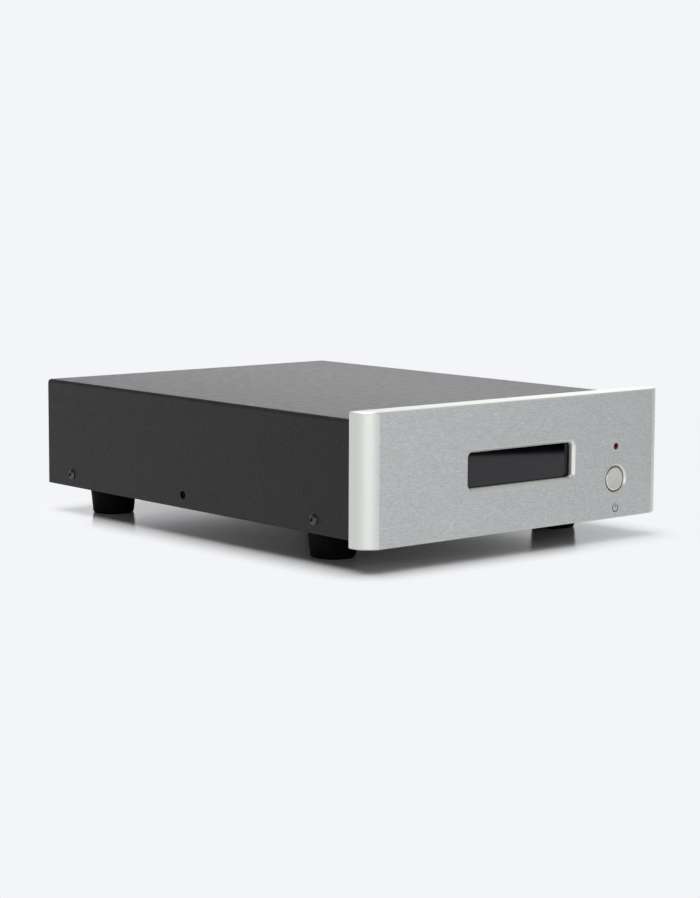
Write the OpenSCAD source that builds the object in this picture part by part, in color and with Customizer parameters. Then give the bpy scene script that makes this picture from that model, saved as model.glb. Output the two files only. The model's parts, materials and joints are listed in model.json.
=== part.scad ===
// Half-width network music streamer: thick aluminium front, folded black case, boards, supply and sockets.
// Millimetres. Z is up from the surface that the feet stand on, Y runs from front to rear, X to the right.

/* [Front panel] */
// Width of the front panel
panel_w = 210; // [188:0.5:240]
// Height of the front panel
panel_h = 67; // [60:0.5:80]
// Thickness of the front panel
panel_t = 12.8; // [11.5:0.1:18]
// How far the front panel reaches past the case on each side
panel_lap = 2.8; // [1:0.1:6]
// How far the front panel reaches above the case
panel_rise = 4.4; // [1:0.1:6]
// How far the front panel reaches below the case
panel_drop = 3.4; // [1:0.1:6]
// Radius of the rounded upright ends
end_r = 10.7; // [9:0.1:11.5]
// How far in from the side the rounded end meets the flat face
end_in = 8.6; // [4:0.1:9]
// Bevel along the top and bottom edges of the front
edge_bevel = 0.5; // [0.2:0.1:1]
// Thickness of the front left in front of the pocket
web_t = 3.4; // [3:0.1:5]
// Wall between the panel screws' middle and the pocket milled into the back of the panel
pocket_wall = 5; // [4:0.2:7]
// Height of the pocket
pocket_h = 46; // [42:1:50]
// Corner radius of the pocket
pocket_r = 6; // [3:0.5:10]

/* [Display] */
// Width of the window at the front face, over its bevel
window_w = 76.6; // [60:0.2:90]
// Height of the window at the front face, over its bevel
window_h = 21; // [14:0.2:24]
// Corner radius of the window at the front face
window_r = 4; // [2.4:0.1:5]
// Bevel round the window
window_bevel = 1.4; // [0.5:0.1:2]
// How far the lens and the glass reach past the window on each side
display_lap = 4; // [2.5:0.1:6]
// Width of the gasket frame round the window
gasket_w = 3; // [2:0.1:3.8]
// Thickness of the gasket
gasket_t = 0.5; // [0.3:0.1:1]
// Thickness of the smoked lens
lens_t = 2; // [1.5:0.1:3]
// Thickness of the display glass
glass_t = 2.2; // [1.5:0.1:3]
// Thickness of the pad between the display glass and the front board
pad_t = 2.8; // [2:0.1:4]

/* [Power button and lamp] */
// How far the button and the lamp lie inside the front board's screws
button_in = 12; // [11:0.2:18]
// How far the button's centre lies below the middle of the panel
button_low = 12.8; // [10:0.1:14]
// Diameter of the button's cap
cap_d = 12.6; // [10:0.1:13]
// Gap round the cap
cap_gap = 0.6; // [0.3:0.05:0.8]
// Bevel round the button's hole
cap_hole_bevel = 0.95; // [0.5:0.05:1.5]
// How far the cap's face lies behind the front face
cap_recess = 0.6; // [0.2:0.1:1]
// Rounding of the cap's rim, as a bevel
cap_bevel = 0.7; // [0.3:0.1:1]
// How far the cap's collar reaches past the cap
collar_lap = 1.4; // [1:0.1:2]
// Thickness of the cap's collar
collar_t = 1.1; // [0.8:0.1:1.4]
// Gap between the cap's collar and the back of the panel's front
collar_gap = 0.15; // [0.1:0.05:0.3]
// Travel of the button
button_travel = 1.2; // [0.6:0.1:1.5]
// Width of the switch's square body
switch_w = 7; // [6:0.1:9]
// Height of the switch's body above the front board
switch_h = 2.8; // [2.6:0.1:3.2]
// Diameter of the switch's plunger
plunger_d = 3.5; // [2.5:0.1:4]
// How far the plunger stands out of the switch's body
plunger_out = 1.6; // [1.5:0.1:2]
// How far the plunger reaches into the switch's body
plunger_in = 0.8; // [0.5:0.1:1]
// Gap round the plunger
plunger_gap = 0.1; // [0.05:0.05:0.2]
// How far the lamp's centre lies above the middle of the panel
lamp_high = 4.6; // [2:0.1:12]
// Diameter of the lamp
lamp_d = 3; // [2:0.1:5]
// Gap round the lamp
lamp_gap = 0.3; // [0.1:0.05:0.4]
// How far the lamp's tip lies behind the front face
lamp_recess = 0.2; // [0:0.1:0.6]
// Width of the lamp's rim past its body
lamp_rim = 0.5; // [0.3:0.1:1]
// Thickness of the lamp's rim
lamp_rim_t = 1; // [0.6:0.1:1.5]
// Diameter of the lamp's legs
lamp_leg_d = 0.6; // [0.4:0.1:0.8]

/* [Case] */
// Depth of the cover
case_d = 267.4; // [262:0.2:330]
// Sheet thickness of the cover
sheet_t = 1.5; // [1:0.1:2]
// Outside radius of the cover's folds
fold_r = 2.1; // [2.05:0.05:4]
// Gap between the cover and what it slides over
fit_gap = 0.2; // [0.1:0.05:0.4]
// Sheet thickness of the base tray
tray_t = 1.5; // [1:0.1:2]
// Height of the tray's side flanges
flange_h = 16; // [14:0.5:20]
// Height of the tray's rear lip
lip_h = 10; // [8:0.5:12]
// Width of the tray's upright ears at the rear corners
ear_w = 12; // [10:0.5:14]
// How far the tray's front frame reaches inside the pocket's outline
frame_lap = 3; // [2:0.5:4]
// Thickness of the rear panel
rear_t = 2; // [1.5:0.1:3]
// How far the rear panel lies inside the cover's rear edge
rear_inset = 2; // [1:0.1:4]

/* [Feet] */
// Height of the feet
foot_h = 15.5; // [12:0.5:25]
// Diameter of a foot at the case
foot_top_d = 26; // [20:0.2:30]
// Diameter of a foot at the floor
foot_low_d = 22.8; // [18:0.2:28]
// Rounding of a foot's lower edge
foot_round = 1.4; // [0.8:0.1:2]
// Distance of the feet's middle from the case's sides
foot_in = 23.2; // [17:0.2:40]
// Place of the front feet behind the front panel
foot_front = 42.6; // [20:0.2:70]
// Place of the rear feet before the cover's rear edge
foot_rear = 30.8; // [20:0.2:60]
// Diameter of the well for the foot's screw
foot_well_d = 11; // [9:0.2:14]
// Thickness of the foot above the well
foot_web = 5; // [3:0.5:8]

/* [Screws] */
// Diameter of the small screws
screw_d = 3; // [2.6:0.1:3.2]
// Head diameter of the small screws
head_d = 5.7; // [5:0.1:6.4]
// Head height of the small screws
head_h = 1.65; // [1.3:0.05:2]
// Width across the flats of the small screws' socket
hex_w = 2; // [1.5:0.1:2.2]
// Depth of the small screws' socket
hex_depth = 1; // [0.8:0.1:1.2]
// Length of the small screws
screw_l = 6; // [5:0.5:6]
// Diameter of the large screws that hold the panel and the feet
bolt_d = 4; // [3.4:0.1:4.4]
// Head diameter of the large screws
bolt_head_d = 7.6; // [6.6:0.1:8]
// Head height of the large screws
bolt_head_h = 2.2; // [1.8:0.1:2.6]
// Width across the flats of the large screws' socket
bolt_hex_w = 2.5; // [2:0.1:2.8]
// Depth of the large screws' socket
bolt_hex_depth = 1.3; // [1:0.1:1.5]
// Length of the large screws
bolt_l = 9; // [8.5:0.5:12]
// Gap round a screw in a threaded hole
thread_gap = 0.05; // [0.02:0.01:0.1]
// Gap round a screw in a plain hole
hole_gap = 0.2; // [0.1:0.05:0.3]
// Height of the cover screws above the case's lower edge
cover_screw_z = 7; // [6:0.1:9]
// Place of the front cover screws behind the front panel
cover_screw_front = 30; // [20:0.2:60]
// Place of the rear cover screws before the cover's rear edge
cover_screw_rear = 23.6; // [18:0.2:60]
// Place of the empty hole behind the front panel
spare_hole_y = 139; // [100:0.5:160]
// Diameter of the empty hole
spare_hole_d = 4.4; // [3.6:0.1:5]
// Diameter of the clinch nuts behind the cover screws
clinch_d = 6.5; // [6:0.1:8]
// Thickness of the clinch nuts
clinch_t = 2.2; // [1.5:0.1:3]
// Distance of the panel screws from the tray's sides
panel_screw_in = 6.5; // [5:0.1:7.5]
// Height of the panel screws above and below the panel's middle
panel_screw_z = 20; // [14:0.5:22]
// Depth of the panel's threaded holes
panel_thread = 9; // [8:0.2:10]
// Distance of the rear panel's screws from its edges
rear_screw_in = 6; // [5:0.2:7]

/* [Boards] */
// Thickness of the circuit boards
board_t = 1.6; // [1:0.1:2]
// Height of the posts under the boards
post_h = 12; // [11:0.5:16]
// Width across the flats of the posts
post_w = 5.5; // [5:0.1:7]
// Distance of the board screws from the board's edges
board_screw_in = 5; // [4:0.2:7]
// Room between the main board and the tray's side
main_side = 9; // [6:0.5:10]
// Room between the main board and the supply board
board_gap = 5; // [3:0.5:8]
// Depth of the main board
main_d = 150; // [140:1:185]
// Gap between the main board and the tray's rear lip
main_gap = 0.6; // [0.4:0.1:1.5]
// Place of the main board's rear screws before its rear edge
main_screw_back = 50; // [46:1:56]
// Gap between the front board's ends and the pocket
front_gap = 3; // [2:0.2:5]
// Height of the front board
front_h = 38; // [34:1:40]
// Diameter of the front board's posts
front_post_d = 5; // [4.4:0.1:6]
// Diameter of the front board's screws
front_screw_d = 2.5; // [2:0.1:2.6]
// Head diameter of the front board's screws
front_head_d = 4.4; // [4:0.1:5]
// Head height of the front board's screws
front_head_h = 1.5; // [1:0.1:1.8]
// Length of the front board's screws
front_screw_l = 5; // [4:0.5:6]
// Width across the flats of the front board's screw sockets
front_hex_w = 1.5; // [1.2:0.1:1.6]
// Depth of the front board's screw sockets
front_hex_depth = 0.8; // [0.5:0.1:1]
// Width of the ribbon cable
ribbon_w = 20; // [12:1:26]
// Thickness of the ribbon cable
ribbon_t = 1; // [0.8:0.1:1.4]
// Inside radius of the ribbon cable's bends
ribbon_r = 6; // [4:0.5:8]
// How far the ribbon cable runs straight before its first bend
ribbon_run = 14; // [10:1:20]
// Width of the ribbon cable's headers past the cable, each side
header_lap = 3; // [2:0.5:5]
// Height of the headers
header_h = 7; // [5:0.5:9]
// Length of the headers along the cable
header_l = 9; // [7:0.5:12]

/* [Processor] */
// Width of the processor module
module_w = 55; // [45:1:60]
// Depth of the processor module
module_d = 42; // [36:1:50]
// Place of the module's middle before the main board's rear edge
module_back = 92; // [80:1:100]
// Height of the module's board above the main board
module_rise = 3; // [2:0.5:5]
// Width of the module's chip
module_chip_w = 15; // [10:1:20]
// Thickness of the module's chip
module_chip_t = 1.5; // [1:0.1:2]
// Width of the module's plugs
plug_w = 5; // [4:0.5:7]
// Width and depth of the processor's heat sink
sink_w = 36; // [26:1:40]
// Base thickness of the heat sink
sink_base = 3; // [2:0.5:5]
// Height of the heat sink's fins
sink_fin_h = 9; // [6:0.5:14]
// Thickness of the heat sink's fins
sink_fin_t = 1.5; // [1:0.1:2]
// Number of fins on a heat sink
sink_fins = 8; // [5:1:9]

/* [Power supply] */
// Outside diameter of the transformer
coil_d = 56; // [50:1:58]
// Diameter of the transformer's hole
coil_hole_d = 22; // [16:1:26]
// Height of the transformer
coil_h = 32; // [24:1:34]
// Rounding of the transformer's edges
coil_round = 8; // [4:0.5:9]
// Room between the supply board and the tray's side
supply_side = 6; // [5:0.5:9]
// Place of the transformer before the rear panel
coil_back = 76; // [74:1:84]
// Thickness of the transformer's pads
coil_pad_t = 2; // [1:0.5:3]
// Diameter of the pads and the plate
coil_plate_d = 46; // [40:1:48]
// Thickness of the plate on the transformer
coil_plate_t = 1.5; // [1:0.1:2]
// Diameter of the transformer's bolt
coil_bolt_d = 6; // [5:0.5:8]
// Width across the flats of the transformer's bolt head and nut
coil_nut_w = 10; // [9:0.5:13]
// Height of the transformer's bolt head
coil_head_h = 4; // [3:0.5:5]
// Height of the transformer's nut
coil_nut_h = 5; // [4:0.5:6]
// How far the bolt reaches past the nut
coil_bolt_out = 3; // [1:0.5:4]
// Width of the supply board
supply_w = 58; // [57:1:60]
// Depth of the supply board
supply_d = 88; // [86:1:92]
// Room between the transformer and the supply board
supply_gap = 12; // [8:1:14]
// Diameter of the filter capacitors
can_d = 18; // [14:0.5:18]
// Height of the filter capacitors
can_h = 30; // [20:1:34]
// Spacing of the filter capacitors
can_pitch = 20; // [19:0.5:21]
// Rounding of the capacitors' top edge
can_round = 1.2; // [0.5:0.1:2]
// Width of the regulators
reg_w = 10; // [8:0.5:11]
// Thickness of the regulators
reg_t = 4.5; // [3:0.1:5]
// Height of the regulators
reg_h = 16; // [12:0.5:18]
// Spacing of the regulators
reg_pitch = 22; // [14:1:24]
// Length of the regulators' heat sink
reg_sink_l = 54; // [40:1:56]
// Height of the regulators' heat sink
reg_sink_h = 25; // [18:1:30]
// Width of the rectifier
bridge_w = 22; // [16:1:24]
// Thickness of the rectifier
bridge_t = 4; // [3:0.5:6]
// Height of the rectifier
bridge_h = 15; // [10:1:18]
// Size of a terminal block along its board's edge
term_w = 12; // [10:1:14]
// Depth of a terminal block
term_d = 8; // [7:0.5:10]
// Height of a terminal block
term_h = 10; // [8:0.5:12]
// Diameter of the insulated leads
lead_d = 2.4; // [1.6:0.1:2.6]
// Spacing of the leads at a terminal block
lead_pitch = 5; // [4:0.2:6]
// Height of the lower mains lead above the tray
lead_low = 3; // [2.5:0.5:4]
// Height of the upper mains lead above the tray
lead_high = 8; // [7:0.5:10]

/* [Mains inlet] */
// Height of the mains inlet's middle above the case's lower edge
inlet_z = 30; // [28:0.5:34]
// Width of the inlet's flange
inlet_flange_w = 50; // [46:0.5:54]
// Height of the inlet's flange
inlet_flange_h = 34; // [33:0.5:38]
// Thickness of the inlet's flange
inlet_flange_t = 3; // [2:0.1:4]
// Corner radius of the inlet's flange
inlet_flange_r = 4; // [2:0.5:6]
// Width of the inlet's body
inlet_w = 28; // [27:0.2:30]
// Height of the inlet's body
inlet_h = 31; // [30:0.2:32]
// How far the inlet's body reaches in behind the flange
inlet_d = 28; // [26:0.5:32]
// Width of the inlet's mouth
mouth_w = 24.4; // [23:0.1:25]
// Height of the inlet's mouth
mouth_h = 16.6; // [15:0.1:17]
// Cut corners of the inlet's mouth
mouth_cut = 4; // [3:0.1:5]
// Depth of the inlet's mouth
mouth_d = 17; // [16:0.5:19]
// How far the mouth's middle lies above the inlet's middle
mouth_high = 5.2; // [5:0.1:5.6]
// Width of a blade
blade_w = 2; // [1.5:0.1:2.4]
// Height of a blade
blade_h = 4; // [3:0.1:4.6]
// Length of a blade inside the mouth
blade_l = 13; // [10:0.5:14]
// Length of a blade's tab behind the body
blade_tab = 8; // [6:0.5:10]
// Sideways spacing of the outer blades from the middle
blade_x = 7; // [6:0.1:7.5]
// How far the middle blade lies above the outer ones
blade_rise = 4; // [3:0.1:4.4]
// Gap round a blade in its slot
blade_gap = 0.05; // [0.02:0.01:0.1]
// Width of the fuse drawer
drawer_w = 23.4; // [22:0.1:24]
// Height of the fuse drawer
drawer_h = 7.4; // [7:0.1:7.8]
// Depth of the fuse drawer
drawer_d = 16; // [12:0.5:20]
// Gap round the fuse drawer
drawer_gap = 0.3; // [0.2:0.05:0.4]
// How far the drawer's middle lies below the inlet's middle
drawer_low = 9.6; // [9.3:0.1:10]
// How far the drawer's grip stands out of the flange
grip_out = 1.2; // [0.6:0.1:2]
// Height of the drawer's grip
grip_h = 2.4; // [1:0.1:3]
// Diameter of the fuse
fuse_d = 5.2; // [4:0.1:5.4]
// Length of the fuse
fuse_l = 20; // [16:0.5:20.5]
// Length of the fuse's metal caps
fuse_cap = 5; // [3:0.5:6]
// Gap between the fuse and the drawer
fuse_gap = 0.1; // [0.05:0.05:0.2]
// How far the fuse's middle lies before the drawer's face
fuse_back = 9; // [8:0.5:10]
// Depth of the countersinks for the sockets' screws
sink_depth = 1.6; // [1.2:0.1:1.8]
// Width across the flats of the sockets' nuts
nut_w = 5.5; // [5:0.1:6]
// Thickness of the sockets' nuts
nut_t = 2.4; // [2:0.1:3]
// Length of the sockets' screws
socket_screw_l = 10; // [9:0.5:12]
// Sideways place of the inlet's screws from its middle
inlet_screw_x = 20; // [19:0.2:21]

/* [Rear sockets] */
// Gap round a socket in the rear panel
socket_gap = 0.3; // [0.2:0.05:0.5]
// How far the board-mounted sockets stand out of the rear panel
socket_out = 0.6; // [0.3:0.1:1.2]
// Width of the network jack
net_w = 16; // [15.4:0.1:17]
// Height of the network jack
net_h = 13.6; // [13:0.1:15]
// Depth of the network jack
net_d = 21; // [18:0.5:24]
// Width of the network jack's mouth
net_mouth_w = 11.9; // [11.5:0.1:12.2]
// Height of the network jack's mouth
net_mouth_h = 8; // [7.4:0.1:8.4]
// Depth of the network jack's mouth
net_mouth_d = 13; // [11:0.5:15]
// Width of the latch slot under the mouth
net_latch_w = 6.2; // [5.5:0.1:6.6]
// Height of the latch slot
net_latch_h = 2.2; // [1.8:0.1:2.4]
// Number of contacts
net_pins = 8; // [4:2:8]
// Spacing of the contacts
net_pitch = 1.02; // [0.9:0.02:1.2]
// Width of a contact
net_pin_w = 0.5; // [0.3:0.05:0.6]
// Height of a contact
net_pin_h = 1; // [0.8:0.1:1.6]
// Width of the USB jack
usb_w = 14.6; // [14:0.1:15.4]
// Height of the USB jack
usb_h = 16; // [15.4:0.1:17]
// Depth of the USB jack
usb_d = 18; // [16:0.5:20]
// Width of a USB port
usb_mouth_w = 12.4; // [12:0.1:12.8]
// Height of a USB port
usb_mouth_h = 5.2; // [4.8:0.1:5.6]
// Depth of a USB port
usb_mouth_d = 12; // [10:0.5:13]
// Spacing of the two USB ports
usb_pitch = 7.6; // [7.2:0.1:8]
// Width of a port's tongue
tongue_w = 10.8; // [9:0.1:11.4]
// Thickness of a port's tongue
tongue_t = 1.8; // [1.4:0.1:2]
// Length of a port's tongue
tongue_l = 9.5; // [8:0.5:10]
// Width of the optical jack
optic_w = 13.6; // [13:0.1:14.4]
// Height of the optical jack
optic_h = 12; // [11.4:0.1:13]
// Depth of the optical jack
optic_d = 16; // [14:0.5:18]
// Width of the optical jack's mouth
optic_mouth_w = 9.8; // [9.2:0.1:10.4]
// Height of the optical jack's mouth
optic_mouth_h = 8.6; // [8:0.1:9.2]
// Depth of the optical jack's mouth
optic_mouth_d = 11; // [10.4:0.1:12]
// Diameter of the light guide's hole
optic_hole_d = 3.2; // [2:0.1:4]
// Depth of the light guide's hole
optic_hole_l = 3; // [2:0.1:3.4]
// Gap round the shutter
shutter_gap = 0.3; // [0.2:0.05:0.4]
// Thickness of the shutter
shutter_t = 0.8; // [0.6:0.1:1]
// How far the shutter's pin lies inside the mouth's rim
shutter_in = 1.2; // [1.2:0.1:1.6]
// Diameter of the shutter's pin
shutter_pin_d = 1.2; // [1:0.1:1.4]
// How far the shutter's pin reaches into the jack's sides
shutter_pin_l = 1.2; // [0.8:0.1:1.4]
// Gap round the shutter's pin
shutter_pin_gap = 0.06; // [0.03:0.01:0.1]
// Height of the coaxial jack's middle above the main board
coax_rise = 9; // [8:0.5:12]
// Diameter of the coaxial jack's barrel
coax_d = 8.3; // [8:0.1:8.6]
// Length of the coaxial jack's barrel past its nut
coax_l = 7.4; // [6:0.1:10]
// Diameter of the coaxial jack's thread
coax_thread_d = 9.2; // [9:0.1:9.8]
// Diameter of the coaxial jack's collar inside the panel
coax_collar_d = 12; // [11:0.1:12.4]
// Thickness of the coaxial jack's collar
coax_collar_t = 2; // [1:0.1:3]
// Length of the coaxial jack's tail
coax_tail_l = 8; // [5:0.5:10]
// Diameter of the coaxial jack's tail
coax_tail_d = 6; // [5.4:0.1:7]
// Width across the flats of the coaxial jack's nut
coax_nut_w = 11.5; // [11:0.1:12]
// Thickness of the coaxial jack's nut
coax_nut_t = 2.2; // [1.5:0.1:3]
// Diameter of the coaxial jack's insulator
coax_core_d = 6.2; // [5.6:0.1:6.6]
// Diameter of the coaxial jack's contact hole
coax_hole_d = 3.2; // [2.6:0.1:3.6]
// Depth of the coaxial jack's contact hole
coax_hole_l = 8; // [6:0.5:9]
// How far the insulator lies inside the barrel's rim
coax_core_in = 0.4; // [0.1:0.1:1]
// Height of the balanced socket's middle above the case's lower edge
bal_z = 31; // [30:0.5:34]
// Width of the balanced socket's flange
bal_flange_w = 26; // [25:0.2:27]
// Height of the balanced socket's flange
bal_flange_h = 31; // [30:0.2:34]
// Thickness of the balanced socket's flange
bal_flange_t = 2.6; // [2:0.1:3.4]
// Corner radius of the balanced socket's flange
bal_flange_r = 3; // [1.5:0.5:4]
// Outside diameter of the balanced socket's shell
bal_shell_d = 23.4; // [22:0.1:24]
// Inside diameter of the balanced socket's shell
bal_mouth_d = 18.8; // [18:0.1:19.4]
// Depth of the balanced socket's mouth
bal_mouth_l = 16; // [14:0.5:18]
// How far the balanced socket's shell reaches in behind the flange
bal_shell_l = 20; // [19.5:0.5:24]
// Diameter of the balanced socket's pins
bal_pin_d = 2.4; // [2:0.1:2.6]
// Length of the pins inside the mouth
bal_pin_l = 13; // [10:0.5:14]
// Length of the pins' tails behind the shell
bal_tail_l = 4; // [2:0.5:6]
// Distance of the pins from the socket's middle
bal_pin_r = 4.8; // [4.4:0.1:5.2]
// Sideways place of the balanced socket's screws from its middle
bal_screw_x = 9.5; // [9.2:0.1:9.8]
// Height of the balanced socket's screws from its middle
bal_screw_z = 12; // [11.6:0.1:12.4]

/* [Hidden] */
$fn = 48;

// How far a cutting shape reaches past the face it cuts
over = 1;
sides = [-1, 1];

// Case behind the front panel
case_w = panel_w - 2 * panel_lap;
case_h = panel_h - panel_drop - panel_rise;

// Heights from the floor
z_base = foot_h;
z_top = z_base + case_h;
z_panel = z_base - panel_drop;
z_mid = z_panel + panel_h / 2;
z_floor = z_base + tray_t;
z_wall = z_top - sheet_t - fit_gap;
z_board = z_floor + post_h;
z_deck = z_board + board_t;

// Places from front to rear, with the whole depth centred on the origin
coax_reach = coax_nut_t + coax_l;
depth = panel_t + case_d - rear_inset + coax_reach;
y_front = -depth / 2;
y_web = y_front + web_t;
y_panel = y_front + panel_t;
y_case = y_panel + case_d;
y_rear = y_case - rear_inset;
y_wall = y_rear - rear_t;

// Widths, and places to the sides that follow from them
tray_w = case_w - 2 * (sheet_t + fit_gap);
tray_in = tray_w / 2 - tray_t;
foot_x = case_w / 2 - foot_in;
panel_screw_x = tray_w / 2 - panel_screw_in;
pocket_w = 2 * (panel_screw_x - pocket_wall);
front_w = pocket_w - 2 * front_gap;
button_x = front_w / 2 - board_screw_in - button_in;
supply_right = tray_in - supply_side;
supply_left = supply_right - supply_w;
coil_x = (supply_left + supply_right) / 2;
inlet_x = coil_x;
main_left = main_side - tray_in;
main_right = supply_left - board_gap;
main_x = (main_left + main_right) / 2;

// The other rear sockets stand side by side, evenly spaced from the tray's left ear to the main board's edge
socket_widths = [bal_flange_w, coax_collar_d, optic_w, usb_w, net_w];
sockets_left = ear_w - tray_w / 2;
function width_to(i) = i == 0 ? 0 : width_to(i - 1) + socket_widths[i - 1];
sockets = len(socket_widths);
socket_space = (main_right - sockets_left - width_to(sockets)) / (sockets + 1);
function socket_x(i) = sockets_left + (i + 1) * socket_space + width_to(i) + socket_widths[i] / 2;
bal_x = socket_x(0);
coax_x = socket_x(1);
optic_x = socket_x(2);
usb_x = socket_x(3);
net_x = socket_x(4);

// Holes
screw_hole_d = screw_d + 2 * hole_gap;
screw_thread_d = screw_d + 2 * thread_gap;
bolt_hole_d = bolt_d + 2 * hole_gap;
bolt_thread_d = bolt_d + 2 * thread_gap;

// Front stack, from the back of the panel's front to the front board
opening_w = window_w - 2 * window_bevel;
opening_h = window_h - 2 * window_bevel;
lens_w = opening_w + 2 * display_lap;
lens_h = opening_h + 2 * display_lap;
stack_l = gasket_t + lens_t + glass_t + pad_t;
y_stack = y_web + stack_l;
y_board_back = y_stack + board_t;
z_button = z_mid - button_low;
z_lamp = z_mid + lamp_high;
cap_hole_d = cap_d + 2 * cap_gap;
y_cap = y_front + cap_recess;
y_collar = y_web + collar_gap;
y_switch = y_stack - switch_h;
y_plunger = y_switch - plunger_out;
y_plunger_floor = y_switch + plunger_in + button_travel + plunger_gap;

// Boards on the tray
y_main = y_wall - tray_t - main_gap;
y_main_front = y_main - main_d;
y_coil = y_wall - coil_back;
y_supply = y_coil - coil_d / 2 - supply_gap;
y_supply_front = y_supply - supply_d;
z_term = z_deck + term_h / 2;
y_dc = y_main_front + 2 * board_screw_in + term_w / 2;

// Mains inlet
z_inlet = z_base + inlet_z;
y_flange = y_rear + inlet_flange_t;
z_mouth = z_inlet + mouth_high;
z_drawer = z_inlet - drawer_low;
y_inlet_back = y_rear - inlet_d;
blade_low = blade_rise / 2;

// Rear sockets
y_socket = y_rear + socket_out;
z_coax = z_deck + coax_rise;
z_bal = z_base + bal_z;
y_bal = y_rear + bal_flange_t;
z_optic = z_deck + optic_h / 2;
z_pin = z_optic + optic_mouth_h / 2 - shutter_pin_d / 2 - shutter_gap;
y_pin = y_socket - shutter_in;

// Screw places
foot_places = [
  for (y = [y_panel + foot_front, y_case - foot_rear], s = sides) [s * foot_x, y]
];
cover_screw_ys = [y_panel + cover_screw_front, y_case - cover_screw_rear];
z_cover_screw = z_base + cover_screw_z;
y_spare = y_panel + spare_hole_y;
rear_screw_x = tray_w / 2 - rear_screw_in;
rear_screw_zs = [z_base + rear_screw_in, z_wall - rear_screw_in];
main_screws = [
  for (x = [main_left + board_screw_in, main_right - board_screw_in])
    for (y = [y_main_front + board_screw_in, y_main - main_screw_back]) [x, y]
];
supply_screws = [
  for (x = [supply_left + board_screw_in, supply_right - board_screw_in])
    for (y = [y_supply_front + board_screw_in, y_supply - board_screw_in]) [x, y]
];
board_screw_places = concat(main_screws, supply_screws);
front_screw_places = [
  for (x = sides, z = sides) [
    x * (front_w / 2 - board_screw_in), z_mid + z * (front_h / 2 - board_screw_in)
  ]
];
inlet_screw_places = [for (s = sides) [inlet_x + s * inlet_screw_x, z_inlet]];
bal_screw_places = [for (s = sides) [bal_x + s * bal_screw_x, z_bal + s * bal_screw_z]];
pin_angles = [90, 210, 330];

// Chips on the main board: place from its left and front edges, width, depth, height
chips = [
  [14, 18, 12, 12, 1.6], [30, 18, 8, 6, 1.4], [5, 42, 18, 18, 2], [18, 82, 10, 10, 1.4],
  [16, 100, 14, 9, 4], [36, 108, 7, 5, 1.6], [84, 108, 14, 14, 1.8], [66, 112, 9, 7, 1.4]
];

// Box between two corners
module block(low, high) {
  translate(low) cube(high - low);
}

// Round bars along each axis
module rod_x(d, x0, x1, y, z) {
  translate([x0, y, z]) rotate([0, 90, 0]) cylinder(d = d, h = x1 - x0);
}

module rod_y(d, x, y0, y1, z) {
  translate([x, y0, z]) rotate([-90, 0, 0]) cylinder(d = d, h = y1 - y0);
}

module rod_z(d, x, y, z0, z1) {
  translate([x, y, z0]) cylinder(d = d, h = z1 - z0);
}

// Six-sided bar upwards, by the width across its flats
module hex_bar(w, h) {
  cylinder(d = w / cos(30), h = h, $fn = 6);
}

// Outline drawn in Y and Z, stretched along X
module bar_x(points, x0, x1) {
  translate([x0, 0, 0]) rotate([90, 0, 90]) linear_extrude(x1 - x0) polygon(points);
}

// Outline drawn in X and Z, stretched along Y
module bar_y(y0, y1) {
  translate([0, y1, 0]) rotate([90, 0, 0]) linear_extrude(y1 - y0) children();
}

module rounded_square(w, h, r) {
  square([w - 2 * r, h], center = true);
  square([w, h - 2 * r], center = true);
  for (sx = sides, sy = sides) translate([sx * (w / 2 - r), sy * (h / 2 - r)]) circle(r);
}

// Plate with round corners that faces along Y
module plate_y(w, h, r, x, y0, y1, z) {
  bar_y(y0, y1) translate([x, z]) rounded_square(w, h, r);
}

// Bevel of a round-cornered hole: full size at y0, narrower by its depth behind that
module bevel_cut(w, h, r, c, x, y0, z) {
  translate([x, y0, z]) {
    bar_x([[0, -h / 2], [0, h / 2], [c, h / 2 - c], [c, c - h / 2]], r - w / 2, w / 2 - r);
    translate([0, 0, r - h / 2]) linear_extrude(h - 2 * r)
      polygon([[-w / 2, 0], [w / 2, 0], [w / 2 - c, c], [c - w / 2, c]]);
    for (sx = sides, sz = sides)
      translate([sx * (w / 2 - r), 0, sz * (h / 2 - r)])
        rotate([-90, 0, 0]) cylinder(r1 = r, r2 = r - c, h = c);
  }
}

// Sheet folded to a U that opens downwards, as an outline
module fold_outline(w, h, t, r) {
  difference() {
    union() {
      translate([-w / 2, 0]) square([w, h - r]);
      translate([r - w / 2, 0]) square([w - 2 * r, h]);
      for (s = sides) translate([s * (w / 2 - r), h - r]) circle(r);
    }
    translate([t - w / 2, -over]) square([w - 2 * t, h - t + over]);
  }
}

// Button-head screw with a six-sided socket, seated at the origin, its shank pointing down
module button_screw(d, l, hd, hh, hex, hex_deep) {
  dome_r = (hh * hh + hd * hd / 4) / (2 * hh);
  difference() {
    union() {
      rotate_extrude() intersection() {
        translate([0, hh - dome_r]) circle(dome_r);
        square([hd / 2, hh]);
      }
      translate([0, 0, -l]) cylinder(d = d, h = l + hh / 2);
    }
    translate([0, 0, hh - hex_deep]) hex_bar(hex, hex_deep + over);
  }
}

module small_screw() {
  button_screw(screw_d, screw_l, head_d, head_h, hex_w, hex_depth);
}

module large_screw() {
  button_screw(bolt_d, bolt_l, bolt_head_d, bolt_head_h, bolt_hex_w, bolt_hex_depth);
}

// Countersunk screw, flush at the origin, pointing down
module flat_screw() {
  difference() {
    rotate_extrude() polygon([
      [0, 0], [screw_d / 2 + sink_depth, 0], [screw_d / 2, -sink_depth],
      [screw_d / 2, -socket_screw_l], [0, -socket_screw_l]
    ]);
    translate([0, 0, -hex_depth]) hex_bar(hex_w, hex_depth + over);
  }
}

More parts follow.
